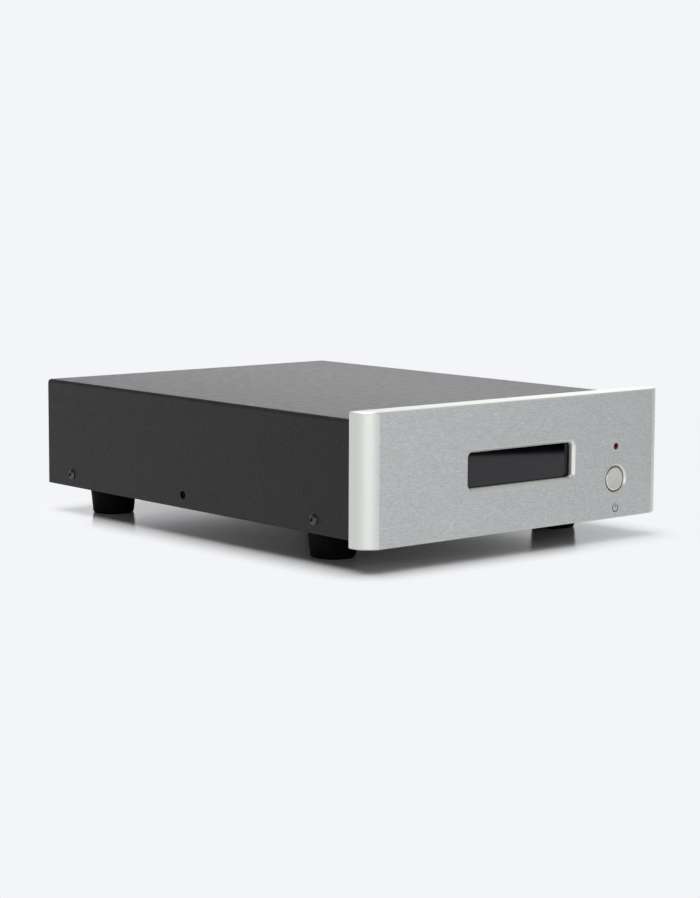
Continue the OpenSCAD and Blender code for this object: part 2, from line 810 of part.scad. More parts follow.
// Hole for a countersunk screw, from its flush face along -Y
module flat_screw_hole(x, y, z, l) {
  wide = screw_hole_d / 2 + sink_depth;
  translate([x, y, z]) rotate([90, 0, 0]) rotate_extrude() polygon([
    [0, -over], [wide + over, -over], [wide, 0], [screw_hole_d / 2, sink_depth], [screw_hole_d / 2, l], [0, l]
  ]);
}

// Tube along a list of points, smooth between its first and last straight stretch
lead_sides = 8;
lead_steps = 4;
lead_skew = [0.31, 0.17, 0.93];
function unit(v) = v / norm(v);
function along(p, i) = unit(p[min(i + 1, len(p) - 1)] - p[max(i - 1, 0)]);
function ring(p, i, r) =
  let (t = along(p, i), u = unit(cross(t, lead_skew)), v = cross(t, u))
    [for (k = [0:lead_sides - 1]) let (a = 360 * k / lead_sides) p[i] + r * (cos(a) * u + sin(a) * v)];
function smooth(p, steps) = [
  for (i = [0:len(p) - 2], k = [0:steps - 1])
    let (
      f = k / steps,
      a = p[max(i - 1, 0)], b = p[i], c = p[i + 1], d = p[min(i + 2, len(p) - 1)]
    ) 0.5 * (2 * b + (c - a) * f + (2 * a - 5 * b + 4 * c - d) * f * f + (3 * b - a - 3 * c + d) * f * f * f),
  p[len(p) - 1]
];

module lead(points, r) {
  ends = len(points) - 1;
  path = concat([points[0]], smooth([for (i = [1:ends - 1]) points[i]], lead_steps), [points[ends]]);
  n = lead_sides;
  last = len(path) - 1;
  walls = [
    for (i = [0:last - 1], k = [0:n - 1]) let (a = i * n + k, b = i * n + (k + 1) % n) [a, a + n, b + n, b]
  ];
  polyhedron(
    [for (i = [0:last], q = ring(path, i, r)) q],
    concat(
      [[for (k = [0:n - 1]) k]],
      [for (w = walls) [w[0], w[1], w[2]]],
      [for (w = walls) [w[0], w[2], w[3]]],
      [[for (k = [n - 1:-1:0]) last * n + k]]
    )
  );
}

// Front panel: plate with rounded ends, milled out at the back
module panel_blank() {
  half = panel_w / 2;
  flat = half - end_in;
  rise = panel_h / 2;
  // Cut to whole microns, so that the round and the straight part share one plane
  end_y = floor(1000 * sqrt(end_r * end_r - (end_r - end_in) * (end_r - end_in))) / 1000;
  b = edge_bevel;
  translate([0, y_front, z_mid]) {
    bar_x(
      [[0, b - rise], [b, -rise], [panel_t, -rise], [panel_t, rise], [b, rise], [0, rise - b]], -flat, flat
    );
    for (s = sides) {
      intersection() {
        translate([s * (half - end_r), end_y, 0]) rotate_extrude() polygon([
          [0, -rise], [end_r - b, -rise], [end_r, b - rise], [end_r, rise - b], [end_r - b, rise], [0, rise]
        ]);
        block([s > 0 ? flat : -half, 0, -rise], [s > 0 ? half : -flat, end_y, rise]);
      }
      bar_y(end_y, panel_t) polygon([
        [s * flat, -rise], [s * (half - b), -rise], [s * half, b - rise],
        [s * half, rise - b], [s * (half - b), rise], [s * flat, rise]
      ]);
    }
  }
}

module front_panel() {
  color("#b4b9b7") difference() {
    panel_blank();
    plate_y(pocket_w, pocket_h, pocket_r, 0, y_web, y_panel + over, z_mid);
    plate_y(opening_w, opening_h, window_r - window_bevel, 0, y_front - over, y_web + over, z_mid);
    bevel_cut(
      window_w + 2 * over, window_h + 2 * over, window_r + over, window_bevel + over, 0, y_front - over, z_mid
    );
    rod_y(cap_hole_d, button_x, y_front - over, y_web + over, z_button);
    translate([button_x, y_front - over, z_button]) rotate([-90, 0, 0]) cylinder(
      r1 = cap_hole_d / 2 + cap_hole_bevel + over, r2 = cap_hole_d / 2, h = cap_hole_bevel + over
    );
    rod_y(lamp_d + 2 * lamp_gap, button_x, y_front - over, y_web + over, z_lamp);
    for (x = sides, z = sides)
      rod_y(
        bolt_thread_d, x * panel_screw_x, y_panel - panel_thread, y_panel + over, z_mid + z * panel_screw_z
      );
  }
}

module panel_screws() {
  color("#2a2a2c") for (x = sides, z = sides)
    translate([x * panel_screw_x, y_panel + tray_t, z_mid + z * panel_screw_z])
      rotate([-90, 0, 0]) large_screw();
}

// Case
module top_cover() {
  color("#1c1c1d") difference() {
    bar_y(y_panel, y_case) translate([0, z_base]) fold_outline(case_w, case_h, sheet_t, fold_r);
    for (y = cover_screw_ys) rod_x(screw_hole_d, -case_w, case_w, y, z_cover_screw);
    rod_x(spare_hole_d, -case_w, case_w, y_spare, z_cover_screw);
  }
}

module tray_sheet() {
  half = tray_w / 2;
  translate([0, 0, z_base + flange_h]) mirror([0, 0, 1])
    bar_y(y_panel, y_wall) fold_outline(tray_w, flange_h, tray_t, fold_r);
  block([-half, y_panel, z_base + fold_r], [half, y_panel + tray_t, z_wall]);
  block([fold_r - half, y_panel, z_base], [half - fold_r, y_panel + tray_t, z_base + fold_r]);
  block([fold_r - half, y_wall - tray_t, z_base], [half - fold_r, y_wall, z_base + lip_h]);
  for (s = sides)
    block(
      [s > 0 ? half - ear_w : -half, y_wall - tray_t, z_base + fold_r],
      [s > 0 ? half : ear_w - half, y_wall, z_wall]
    );
}

module base_tray() {
  color("#232324") difference() {
    tray_sheet();
    plate_y(
      pocket_w - 2 * frame_lap, pocket_h - 2 * frame_lap, pocket_r,
      0, y_panel - over, y_panel + tray_t + over, z_mid
    );
    for (x = sides, z = sides)
      rod_y(
        bolt_hole_d, x * panel_screw_x, y_panel - over, y_panel + tray_t + over, z_mid + z * panel_screw_z
      );
    for (y = concat(cover_screw_ys, [y_spare])) rod_x(screw_thread_d, -case_w, case_w, y, z_cover_screw);
    for (x = sides, z = rear_screw_zs)
      rod_y(screw_thread_d, x * rear_screw_x, y_wall - tray_t - over, y_wall + over, z);
    for (p = foot_places) rod_z(bolt_thread_d, p[0], p[1], z_base - over, z_floor + over);
    for (p = board_screw_places) rod_z(screw_hole_d, p[0], p[1], z_base - over, z_floor + over);
    rod_z(coil_bolt_d + 2 * hole_gap, coil_x, y_coil, z_base - over, z_floor + over);
  }
}

module rear_panel() {
  color("#262627") difference() {
    block([-tray_w / 2, y_wall, z_base], [tray_w / 2, y_rear, z_wall]);
    for (x = sides, z = rear_screw_zs) rod_y(screw_hole_d, x * rear_screw_x, y_wall - over, y_rear + over, z);
    socket_hole(inlet_x, inlet_w, z_inlet - inlet_h / 2, inlet_h);
    socket_hole(net_x, net_w, z_deck, net_h);
    socket_hole(usb_x, usb_w, z_deck, usb_h);
    socket_hole(optic_x, optic_w, z_deck, optic_h);
    rod_y(coax_thread_d + 2 * thread_gap, coax_x, y_wall - over, y_rear + over, z_coax);
    rod_y(bal_shell_d + 2 * socket_gap, bal_x, y_wall - over, y_rear + over, z_bal);
    for (p = concat(inlet_screw_places, bal_screw_places))
      rod_y(screw_hole_d, p[0], y_wall - over, y_rear + over, p[1]);
  }
}

module socket_hole(x, w, z, h) {
  block(
    [x - w / 2 - socket_gap, y_wall - over, z - socket_gap],
    [x + w / 2 + socket_gap, y_rear + over, z + h + socket_gap]
  );
}

module cover_screws() {
  color("#18181a") for (s = sides, y = cover_screw_ys)
    translate([s * case_w / 2, y, z_cover_screw]) rotate([0, s * 90, 0]) small_screw();
}

module clinch_nuts() {
  color("#8d8f92") for (s = sides, y = concat(cover_screw_ys, [y_spare]))
    translate([s * tray_in, y, z_cover_screw]) rotate([0, -s * 90, 0]) difference() {
      cylinder(d = clinch_d, h = clinch_t);
      translate([0, 0, -over]) cylinder(d = screw_thread_d, h = clinch_t + 2 * over);
    }
}

module rear_screws() {
  color("#18181a") for (x = sides, z = rear_screw_zs)
    translate([x * rear_screw_x, y_rear, z]) rotate([-90, 0, 0]) small_screw();
}

// Feet
module foot(i) {
  well_h = foot_h - foot_web;
  color("#141415") translate([foot_places[i][0], foot_places[i][1], 0]) difference() {
    rotate_extrude() polygon(concat(
      [[0, 0]],
      [for (a = [0:15:90]) [
        foot_low_d / 2 - foot_round * (1 - sin(a)), foot_round * (1 - cos(a))
      ]],
      [[foot_top_d / 2, foot_h], [0, foot_h]]
    ));
    translate([0, 0, -over]) cylinder(d = foot_well_d, h = well_h + over);
    cylinder(d = bolt_hole_d, h = foot_h + over);
  }
}

module foot_screws() {
  color("#8d8f92") for (p = foot_places)
    translate([p[0], p[1], foot_h - foot_web]) rotate([180, 0, 0]) large_screw();
}

// Display stack
module display_gasket() {
  color("#0d0d0e") difference() {
    plate_y(
      opening_w + 2 * gasket_w, opening_h + 2 * gasket_w, window_r, 0, y_web, y_web + gasket_t, z_mid
    );
    plate_y(
      opening_w, opening_h, window_r - window_bevel, 0, y_web - over, y_web + gasket_t + over, z_mid
    );
  }
}

module stack_slab(start, t) {
  block(
    [-lens_w / 2, y_web + start, z_mid - lens_h / 2],
    [lens_w / 2, y_web + start + t, z_mid + lens_h / 2]
  );
}

module display_lens() {
  color("#3a363c") stack_slab(gasket_t, lens_t);
}

module display_glass() {
  color("#16161a") stack_slab(gasket_t + lens_t, glass_t);
}

module display_pad() {
  color("#2b2b2b") stack_slab(gasket_t + lens_t + glass_t, pad_t);
}

// Front board
module front_board() {
  color("#1f5a34") difference() {
    block([-front_w / 2, y_stack, z_mid - front_h / 2], [front_w / 2, y_board_back, z_mid + front_h / 2]);
    for (p = front_screw_places)
      rod_y(front_screw_d + 2 * hole_gap, p[0], y_stack - over, y_board_back + over, p[1]);
    for (s = sides)
      rod_y(
        lamp_leg_d + 2 * hole_gap, button_x + s * lamp_d / 4, y_stack - over, y_board_back + over, z_lamp
      );
  }
}

module front_posts() {
  color("#c2a15a") for (p = front_screw_places)
    difference() {
      rod_y(front_post_d, p[0], y_web, y_stack, p[1]);
      rod_y(front_screw_d + 2 * thread_gap, p[0], y_stack - front_screw_l, y_stack + over, p[1]);
    }
}

module front_board_screws() {
  color("#8d8f92") for (p = front_screw_places)
    translate([p[0], y_board_back, p[1]]) rotate([-90, 0, 0])
      button_screw(front_screw_d, front_screw_l, front_head_d, front_head_h, front_hex_w, front_hex_depth);
}

// Power button: cap with a collar behind the panel, and the switch that it presses
module button_cap() {
  collar = y_collar - y_cap;
  stem = y_plunger - y_cap;
  r = cap_d / 2;
  color("#c4c4be") translate([button_x, y_cap, z_button]) rotate([-90, 0, 0]) rotate_extrude() polygon([
    [0, 0], [r - cap_bevel, 0], [r, cap_bevel], [r, collar], [r + collar_lap, collar],
    [r + collar_lap, collar + collar_t], [plunger_d / 2, collar + collar_t], [plunger_d / 2, stem], [0, stem]
  ]);
}

module switch_plunger() {
  color("#e0ddd2") rod_y(plunger_d, button_x, y_plunger, y_switch + plunger_in, z_button);
}

module switch_body() {
  color("#1b1b1c") difference() {
    block(
      [button_x - switch_w / 2, y_switch, z_button - switch_w / 2],
      [button_x + switch_w / 2, y_stack, z_button + switch_w / 2]
    );
    rod_y(plunger_d + 2 * plunger_gap, button_x, y_switch - over, y_plunger_floor, z_button);
  }
}

module power_lamp() {
  tip = y_front + lamp_recess;
  dome = lamp_d / 2;
  color("#7d1018") {
    translate([button_x, tip + dome, z_lamp]) sphere(d = lamp_d);
    rod_y(lamp_d, button_x, tip + dome, y_web + lamp_rim_t, z_lamp);
    rod_y(lamp_d + 2 * lamp_rim, button_x, y_web, y_web + lamp_rim_t, z_lamp);
    for (s = sides)
      rod_y(lamp_leg_d, button_x + s * lamp_d / 4, y_web + lamp_rim_t, y_board_back + lamp_leg_d, z_lamp);
  }
}

// Main board and what stands on it
module board_holes(places) {
  for (p = places) rod_z(screw_hole_d, p[0], p[1], z_board - over, z_deck + over);
}

module main_board() {
  color("#1f5a34") difference() {
    block([main_left, y_main_front, z_board], [main_right, y_main, z_deck]);
    board_holes(main_screws);
  }
}

module board_posts() {
  color("#c2a15a") for (p = board_screw_places)
    translate([p[0], p[1], z_floor]) difference() {
      hex_bar(post_w, post_h);
      translate([0, 0, -over]) cylinder(d = screw_thread_d, h = post_h + 2 * over);
    }
}

module board_screws() {
  color("#8d8f92") for (p = board_screw_places) {
    translate([p[0], p[1], z_deck]) small_screw();
    translate([p[0], p[1], z_base]) mirror([0, 0, 1]) small_screw();
  }
}

module board_chips() {
  color("#19191b") for (c = chips)
    block(
      [main_left + c[0], y_main_front + c[1], z_deck],
      [main_left + c[0] + c[2], y_main_front + c[1] + c[3], z_deck + c[4]]
    );
}

module processor_module() {
  y = y_main - module_back;
  top = module_rise + board_t;
  color("#24402f") translate([main_x, y, z_deck]) {
    block([-module_w / 2, -module_d / 2, module_rise], [module_w / 2, module_d / 2, top]);
    for (s = sides)
      translate([s * (module_w / 2 - plug_w), 0, module_rise / 2])
        cube([plug_w, module_d - 2 * plug_w, module_rise], center = true);
    translate([0, 0, top + module_chip_t / 2])
      cube([module_chip_w, module_chip_w, module_chip_t], center = true);
  }
}

// Finned block, its base down at the origin, its fins running along Y
module finned(w, l, base, fin_h, fin_t, fins) {
  translate([-w / 2, -l / 2, 0]) {
    cube([w, l, base]);
    for (i = [0:fins - 1]) translate([i * (w - fin_t) / (fins - 1), 0, 0]) cube([fin_t, l, base + fin_h]);
  }
}

module processor_heatsink() {
  color("#3b3d40") translate([main_x, y_main - module_back, z_deck + module_rise + board_t + module_chip_t])
    finned(sink_w, sink_w, sink_base, sink_fin_h, sink_fin_t, sink_fins);
}

// Ribbon cable: from the front board's header, down and back to the main board's
ribbon_x = main_x;
y_ribbon = y_board_back + header_l;
z_ribbon = z_mid;
y_ribbon_end = y_main_front + board_screw_in;
z_ribbon_end = z_deck + header_h / 2;
bend_steps = 6;
function bend(cy, cz, r, a0, a1) = [
  for (i = [0:bend_steps]) let (a = a0 + (a1 - a0) * i / bend_steps) [cy + r * cos(a), cz + r * sin(a)]
];

module ribbon_cable() {
  r = ribbon_r;
  t = ribbon_t;
  far = r + t;
  y_turn = y_ribbon + ribbon_run;
  y_low = y_turn + 2 * r + t;
  upper = concat(
    [[y_ribbon, z_ribbon + t / 2]],
    bend(y_turn, z_ribbon - t / 2 - r, far, 90, 0),
    bend(y_low, z_ribbon_end + t / 2 + r, r, 180, 270),
    [[y_ribbon_end, z_ribbon_end + t / 2]]
  );
  lower = concat(
    [[y_ribbon_end, z_ribbon_end - t / 2]],
    bend(y_low, z_ribbon_end + t / 2 + r, far, 270, 180),
    bend(y_turn, z_ribbon - t / 2 - r, r, 0, 90),
    [[y_ribbon, z_ribbon - t / 2]]
  );
  color("#9a9da0") bar_x(concat(upper, lower), ribbon_x - ribbon_w / 2, ribbon_x + ribbon_w / 2);
}

module ribbon_headers() {
  w = ribbon_w / 2 + header_lap;
  color("#e2e0d6") {
    block(
      [ribbon_x - w, y_board_back, z_ribbon - header_h / 2], [ribbon_x + w, y_ribbon, z_ribbon + header_h / 2]
    );
    block([ribbon_x - w, y_ribbon_end, z_deck], [ribbon_x + w, y_ribbon_end + header_l, z_deck + header_h]);
  }
}

// Power supply
z_coil = z_floor + coil_pad_t;
z_coil_top = z_coil + coil_h;
z_plate = z_coil_top + coil_pad_t;

module ring_z(d, hole, z0, z1) {
  difference() {
    rod_z(d, coil_x, y_coil, z0, z1);
    rod_z(hole, coil_x, y_coil, z0 - over, z1 + over);
  }
}

module transformer_coil() {
  wall = (coil_d - coil_hole_d) / 2;
  color("#caa42f") translate([coil_x, y_coil, z_coil + coil_h / 2])
    rotate_extrude() translate([coil_hole_d / 2 + wall / 2, 0]) rounded_square(wall, coil_h, coil_round);
}

module transformer_pads() {
  color("#1e1e1f") {
    ring_z(coil_plate_d, coil_bolt_d + 2 * hole_gap, z_floor, z_coil);
    ring_z(coil_plate_d, coil_bolt_d + 2 * hole_gap, z_coil_top, z_plate);
  }
}

module transformer_plate() {
  color("#a4a7ab") ring_z(coil_plate_d, coil_bolt_d + 2 * hole_gap, z_plate, z_plate + coil_plate_t);
}

module transformer_bolt() {
  top = z_plate + coil_plate_t + coil_nut_h + coil_bolt_out;
  color("#8d8f92") {
    translate([coil_x, y_coil, z_base - coil_head_h]) hex_bar(coil_nut_w, coil_head_h);
    rod_z(coil_bolt_d, coil_x, y_coil, z_base - coil_head_h / 2, top);
  }
}

module transformer_nut() {
  z = z_plate + coil_plate_t;
  color("#8d8f92") translate([coil_x, y_coil, z]) difference() {
    hex_bar(coil_nut_w, coil_nut_h);
    translate([0, 0, -over]) cylinder(d = coil_bolt_d + 2 * thread_gap, h = coil_nut_h + 2 * over);
  }
}

module supply_board() {
  color("#1f5a34") difference() {
    block([supply_left, y_supply_front, z_board], [supply_right, y_supply, z_deck]);
    board_holes(supply_screws);
  }
}

// The capacitors stand two by two, the rectifier behind them, the regulators at the front
y_cans = y_supply - term_d - board_screw_in - can_d;
y_sink = y_supply_front + board_screw_in + head_d + sink_base + sink_fin_h;

module filter_capacitors() {
  color("#20232b") for (i = sides, k = sides)
    translate([coil_x + i * can_pitch / 2, y_cans + k * can_pitch / 2, z_deck]) rotate_extrude() polygon([
      [0, 0], [can_d / 2, 0], [can_d / 2, can_h - can_round], [can_d / 2 - can_round, can_h], [0, can_h]
    ]);
}

module bridge_rectifier() {
  color("#161617") translate([coil_x, y_cans - can_pitch - bridge_t, z_deck])
    translate([-bridge_w / 2, 0, 0]) cube([bridge_w, bridge_t, bridge_h]);
}

module regulator_heatsink() {
  color("#303235") translate([coil_x, y_sink, z_deck + reg_sink_h / 2]) rotate([90, 0, 0])
    finned(reg_sink_l, reg_sink_h, sink_base, sink_fin_h, sink_fin_t, sink_fins);
}

module regulators() {
  color("#1a1a1b") for (s = sides)
    translate([coil_x + s * reg_pitch / 2 - reg_w / 2, y_sink, z_deck]) cube([reg_w, reg_t, reg_h]);
}

// Terminal blocks: mains and coil at the supply board's rear edge, and one on each board between the two
x_mains = supply_right - 2 * board_screw_in - term_w / 2;
x_coil_term = coil_x;

module terminal_blocks() {
  color("#2f6b45") {
    for (x = [x_mains, x_coil_term])
      block([x - term_w / 2, y_supply - term_d, z_deck], [x + term_w / 2, y_supply, z_deck + term_h]);
    for (x = [supply_left, main_right - term_d])
      block([x, y_dc - term_w / 2, z_deck], [x + term_d, y_dc + term_w / 2, z_deck + term_h]);
  }
}

// Leads: from the inlet's tabs along the tray's right flange, from the coil, and between the boards
x_lane = (coil_x + coil_d / 2 + tray_in) / 2;

module mains_leads() {
  y_tab = y_inlet_back - blade_tab;
  z_tab = z_mouth - blade_low;
  color("#5b3a22") for (s = sides) {
    x_tab = inlet_x + s * blade_x;
    z_lane = z_floor + (s > 0 ? lead_high : lead_low);
    x_end = x_mains + s * lead_pitch / 2;
    lead(concat(
      [[x_tab, y_tab, z_tab], [x_tab, y_tab - lead_d, z_tab]],
      [for (f = [0.25:0.25:0.75])
        [x_tab + (x_lane - x_tab) * f, y_tab - 2 * lead_d, z_tab + (z_lane - z_tab) * f]],
      [
        [x_lane, y_coil + coil_d / 3, z_lane],
        [x_lane, y_coil, z_lane],
        [x_lane, y_coil - coil_d / 3, z_lane],
        [(x_lane + x_end) / 2, y_coil - coil_d / 2, (z_lane + z_term) / 2],
        [x_end, y_supply + 2 * lead_d, z_term],
        [x_end, y_supply, z_term]
      ]
    ), lead_d / 2);
  }
}

module coil_leads() {
  color("#8a1f1f") for (s = sides) {
    x = x_coil_term + s * lead_pitch / 2;
    rod_y(lead_d, x, y_supply, y_coil - coil_d / 2, z_term);
  }
}

module supply_leads() {
  color("#22252c") for (s = sides)
    rod_x(lead_d, main_right, supply_left, y_dc + s * lead_pitch / 2, z_term);
}

// Mains inlet: the mouth above, the fuse drawer below
module inlet_mouth() {
  w = mouth_w / 2;
  h = mouth_h / 2;
  translate([inlet_x, z_mouth]) polygon([
    [-w, -h], [w, -h], [w, h - mouth_cut], [w - mouth_cut, h], [mouth_cut - w, h], [-w, h - mouth_cut]
  ]);
}

blade_places = [
  [inlet_x - blade_x, z_mouth - blade_low],
  [inlet_x + blade_x, z_mouth - blade_low],
  [inlet_x, z_mouth + blade_low]
];

module mains_inlet() {
  color("#171718") difference() {
    union() {
      plate_y(inlet_flange_w, inlet_flange_h, inlet_flange_r, inlet_x, y_rear, y_flange, z_inlet);
      block(
        [inlet_x - inlet_w / 2, y_inlet_back, z_inlet - inlet_h / 2],
        [inlet_x + inlet_w / 2, y_rear + inlet_flange_t / 2, z_inlet + inlet_h / 2]
      );
    }
    bar_y(y_flange - mouth_d, y_flange + over) inlet_mouth();
    for (p = blade_places)
      translate([p[0], y_inlet_back, p[1]])
        cube([blade_w + 2 * blade_gap, 2 * (inlet_d + over), blade_h + 2 * blade_gap], center = true);
    drawer_space(drawer_gap, drawer_d + drawer_gap);
    for (p = inlet_screw_places) flat_screw_hole(p[0], y_flange, p[1], inlet_flange_t + over);
  }
}

module drawer_space(gap, d) {
  block(
    [inlet_x - drawer_w / 2 - gap, y_flange - d, z_drawer - drawer_h / 2 - gap],
    [inlet_x + drawer_w / 2 + gap, y_flange + over, z_drawer + drawer_h / 2 + gap]
  );
}

module inlet_blades() {
  color("#c9b98a") for (p = blade_places)
    translate([p[0] - blade_w / 2, y_inlet_back - blade_tab, p[1] - blade_h / 2])
      cube([blade_w, blade_tab + inlet_d + inlet_flange_t - mouth_d + blade_l, blade_h]);
}

module fuse_drawer() {
  y_fuse = y_flange - fuse_back;
  half = fuse_l / 2 + fuse_gap;
  color("#1d1d1e") difference() {
    union() {
      block(
        [inlet_x - drawer_w / 2, y_flange - drawer_d, z_drawer - drawer_h / 2],
        [inlet_x + drawer_w / 2, y_flange, z_drawer + drawer_h / 2]
      );
      block(
        [inlet_x - drawer_w / 4, y_flange - grip_h, z_drawer - grip_h / 2],
        [inlet_x + drawer_w / 4, y_flange + grip_out, z_drawer + grip_h / 2]
      );
    }
    rod_x(fuse_d + 2 * fuse_gap, inlet_x - half, inlet_x + half, y_fuse, z_drawer);
    block(
      [inlet_x - half, y_fuse - fuse_d / 2 - fuse_gap, z_drawer],
      [inlet_x + half, y_fuse + fuse_d / 2 + fuse_gap, z_drawer + drawer_h]
    );
  }
}

module fuse() {
  y_fuse = y_flange - fuse_back;
  glass_d = fuse_d - 4 * fuse_gap;
  color("#c9ccd0") {
    rod_x(glass_d, inlet_x - fuse_l / 2, inlet_x + fuse_l / 2, y_fuse, z_drawer);
    rod_x(fuse_d, inlet_x - fuse_l / 2, inlet_x - fuse_l / 2 + fuse_cap, y_fuse, z_drawer);
    rod_x(fuse_d, inlet_x + fuse_l / 2 - fuse_cap, inlet_x + fuse_l / 2, y_fuse, z_drawer);
  }
}

module socket_screws() {
  color("#18181a") {
    for (p = inlet_screw_places) translate([p[0], y_flange, p[1]]) rotate([-90, 0, 0]) flat_screw();
    for (p = bal_screw_places) translate([p[0], y_bal, p[1]]) rotate([-90, 0, 0]) flat_screw();
  }
}

module socket_nuts() {
  color("#8d8f92") for (p = concat(inlet_screw_places, bal_screw_places))
    translate([p[0], y_wall, p[1]]) rotate([90, 0, 0]) difference() {
      hex_bar(nut_w, nut_t);
      translate([0, 0, -over]) cylinder(d = screw_thread_d, h = nut_t + 2 * over);
    }
}

// Sockets on the main board
module socket_body(x, w, h, d) {
  block([x - w / 2, y_socket - d, z_deck], [x + w / 2, y_socket, z_deck + h]);
}

module network_jack() {
  mid = z_deck + net_h / 2;
  ceiling = mid + net_mouth_h / 2;
  back = y_socket - net_mouth_d;
  color("#a9acb0") {
    difference() {
      socket_body(net_x, net_w, net_h, net_d);
      block(
        [net_x - net_mouth_w / 2, back, mid - net_mouth_h / 2],
        [net_x + net_mouth_w / 2, y_socket + over, ceiling]
      );
      block(
        [net_x - net_latch_w / 2, back, mid - net_mouth_h / 2 - net_latch_h],
        [net_x + net_latch_w / 2, y_socket + over, mid]
      );
    }
    for (i = [0:net_pins - 1]) {
      x = net_x + (i - (net_pins - 1) / 2) * net_pitch;
      block(
        [x - net_pin_w / 2, back - over, ceiling - net_pin_h],
        [x + net_pin_w / 2, y_socket - over, ceiling + over]
      );
    }
  }
}

module usb_jack() {
  mid = z_deck + usb_h / 2;
  back = y_socket - usb_mouth_d;
  color("#b4b7ba") {
    difference() {
      socket_body(usb_x, usb_w, usb_h, usb_d);
      for (s = sides)
        block(
          [usb_x - usb_mouth_w / 2, back, mid + s * usb_pitch / 2 - usb_mouth_h / 2],
          [usb_x + usb_mouth_w / 2, y_socket + over, mid + s * usb_pitch / 2 + usb_mouth_h / 2]
        );
    }
    for (s = sides) {
      top = mid + s * usb_pitch / 2 + usb_mouth_h / 4 + tongue_t / 2;
      block(
        [usb_x - tongue_w / 2, back - over, top - tongue_t],
        [usb_x + tongue_w / 2, back + tongue_l, top]
      );
    }
  }
}

module optical_jack() {
  back = y_socket - optic_mouth_d;
  color("#161617") difference() {
    socket_body(optic_x, optic_w, optic_h, optic_d);
    block(
      [optic_x - optic_mouth_w / 2, back, z_optic - optic_mouth_h / 2],
      [optic_x + optic_mouth_w / 2, y_socket + over, z_optic + optic_mouth_h / 2]
    );
    rod_y(optic_hole_d, optic_x, back - optic_hole_l, back + over, z_optic);
    rod_x(
      shutter_pin_d + 2 * shutter_pin_gap, optic_x - optic_mouth_w / 2 - shutter_pin_l - shutter_pin_gap,
      optic_x + optic_mouth_w / 2 + shutter_pin_l + shutter_pin_gap, y_pin, z_pin
    );
  }
}

module optical_shutter() {
  half = optic_mouth_w / 2 - shutter_gap;
  color("#202021") {
    block(
      [optic_x - half, y_pin - shutter_t / 2, z_optic - optic_mouth_h / 2 + shutter_gap],
      [optic_x + half, y_pin + shutter_t / 2, z_pin]
    );
    rod_x(shutter_t, optic_x - half, optic_x + half, y_pin, z_pin);
    rod_x(
      shutter_pin_d, optic_x - optic_mouth_w / 2 - shutter_pin_l, optic_x + optic_mouth_w / 2 + shutter_pin_l,
      y_pin, z_pin
    );
  }
}

// Coaxial jack: the nut clamps it to the rear panel from outside
module coaxial_jack() {
  y_collar_back = y_wall - coax_collar_t;
  y_end = y_rear + coax_reach;
  color("#c9a64a") difference() {
    union() {
      rod_y(coax_tail_d, coax_x, y_collar_back - coax_tail_l, y_wall, z_coax);
      rod_y(coax_collar_d, coax_x, y_collar_back, y_wall, z_coax);
      rod_y(coax_thread_d, coax_x, y_collar_back, y_rear + coax_nut_t, z_coax);
      rod_y(coax_d, coax_x, y_wall, y_end, z_coax);
    }
    rod_y(coax_core_d + 2 * thread_gap, coax_x, y_wall, y_end + over, z_coax);
  }
}

module coaxial_insulator() {
  y_end = y_rear + coax_reach - coax_core_in;
  color("#e8e6df") difference() {
    rod_y(coax_core_d, coax_x, y_wall, y_end, z_coax);
    rod_y(coax_hole_d, coax_x, y_end - coax_hole_l, y_end + over, z_coax);
  }
}

module coaxial_nut() {
  color("#c9a64a") translate([coax_x, y_rear, z_coax]) rotate([-90, 0, 0]) difference() {
    hex_bar(coax_nut_w, coax_nut_t);
    translate([0, 0, -over]) cylinder(d = coax_thread_d + 2 * thread_gap, h = coax_nut_t + 2 * over);
  }
}

// Balanced socket: flange, shell and three pins moulded into its floor
module balanced_socket() {
  back = y_rear - bal_shell_l;
  floor_y = y_bal - bal_mouth_l;
  color("#2c2d2f") {
    difference() {
      union() {
        plate_y(bal_flange_w, bal_flange_h, bal_flange_r, bal_x, y_rear, y_bal, z_bal);
        rod_y(bal_shell_d, bal_x, back, y_rear + bal_flange_t / 2, z_bal);
      }
      rod_y(bal_mouth_d, bal_x, floor_y, y_bal + over, z_bal);
      for (p = bal_screw_places) flat_screw_hole(p[0], y_bal, p[1], bal_flange_t + over);
    }
    for (a = pin_angles)
      rod_y(
        bal_pin_d, bal_x + bal_pin_r * cos(a), back - bal_tail_l, floor_y + bal_pin_l,
        z_bal + bal_pin_r * sin(a)
      );
  }
}

front_panel();
top_cover();
base_tray();
rear_panel();
panel_screws();
cover_screws();
clinch_nuts();
rear_screws();
foot(0);  // foot_front_left
foot(1);  // foot_front_right
foot(2);  // foot_rear_left
foot(3);  // foot_rear_right
foot_screws();
display_gasket();
display_lens();
display_glass();
display_pad();
front_board();
front_posts();
front_board_screws();
button_cap();
switch_plunger();
switch_body();
power_lamp();
main_board();
board_posts();
board_screws();
processor_module();
processor_heatsink();
board_chips();
ribbon_cable();
ribbon_headers();
transformer_coil();
transformer_pads();
transformer_plate();
transformer_bolt();
transformer_nut();
supply_board();
filter_capacitors();
regulators();
regulator_heatsink();
bridge_rectifier();
terminal_blocks();
mains_leads();
coil_leads();
supply_leads();
mains_inlet();
inlet_blades();
fuse_drawer();
fuse();
socket_screws();
socket_nuts();
network_jack();
usb_jack();
coaxial_jack();
coaxial_insulator();
coaxial_nut();
optical_jack();
optical_shutter();
balanced_socket();
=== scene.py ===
import json
import math
import bmesh
import bpy
from mathutils import Matrix, Vector


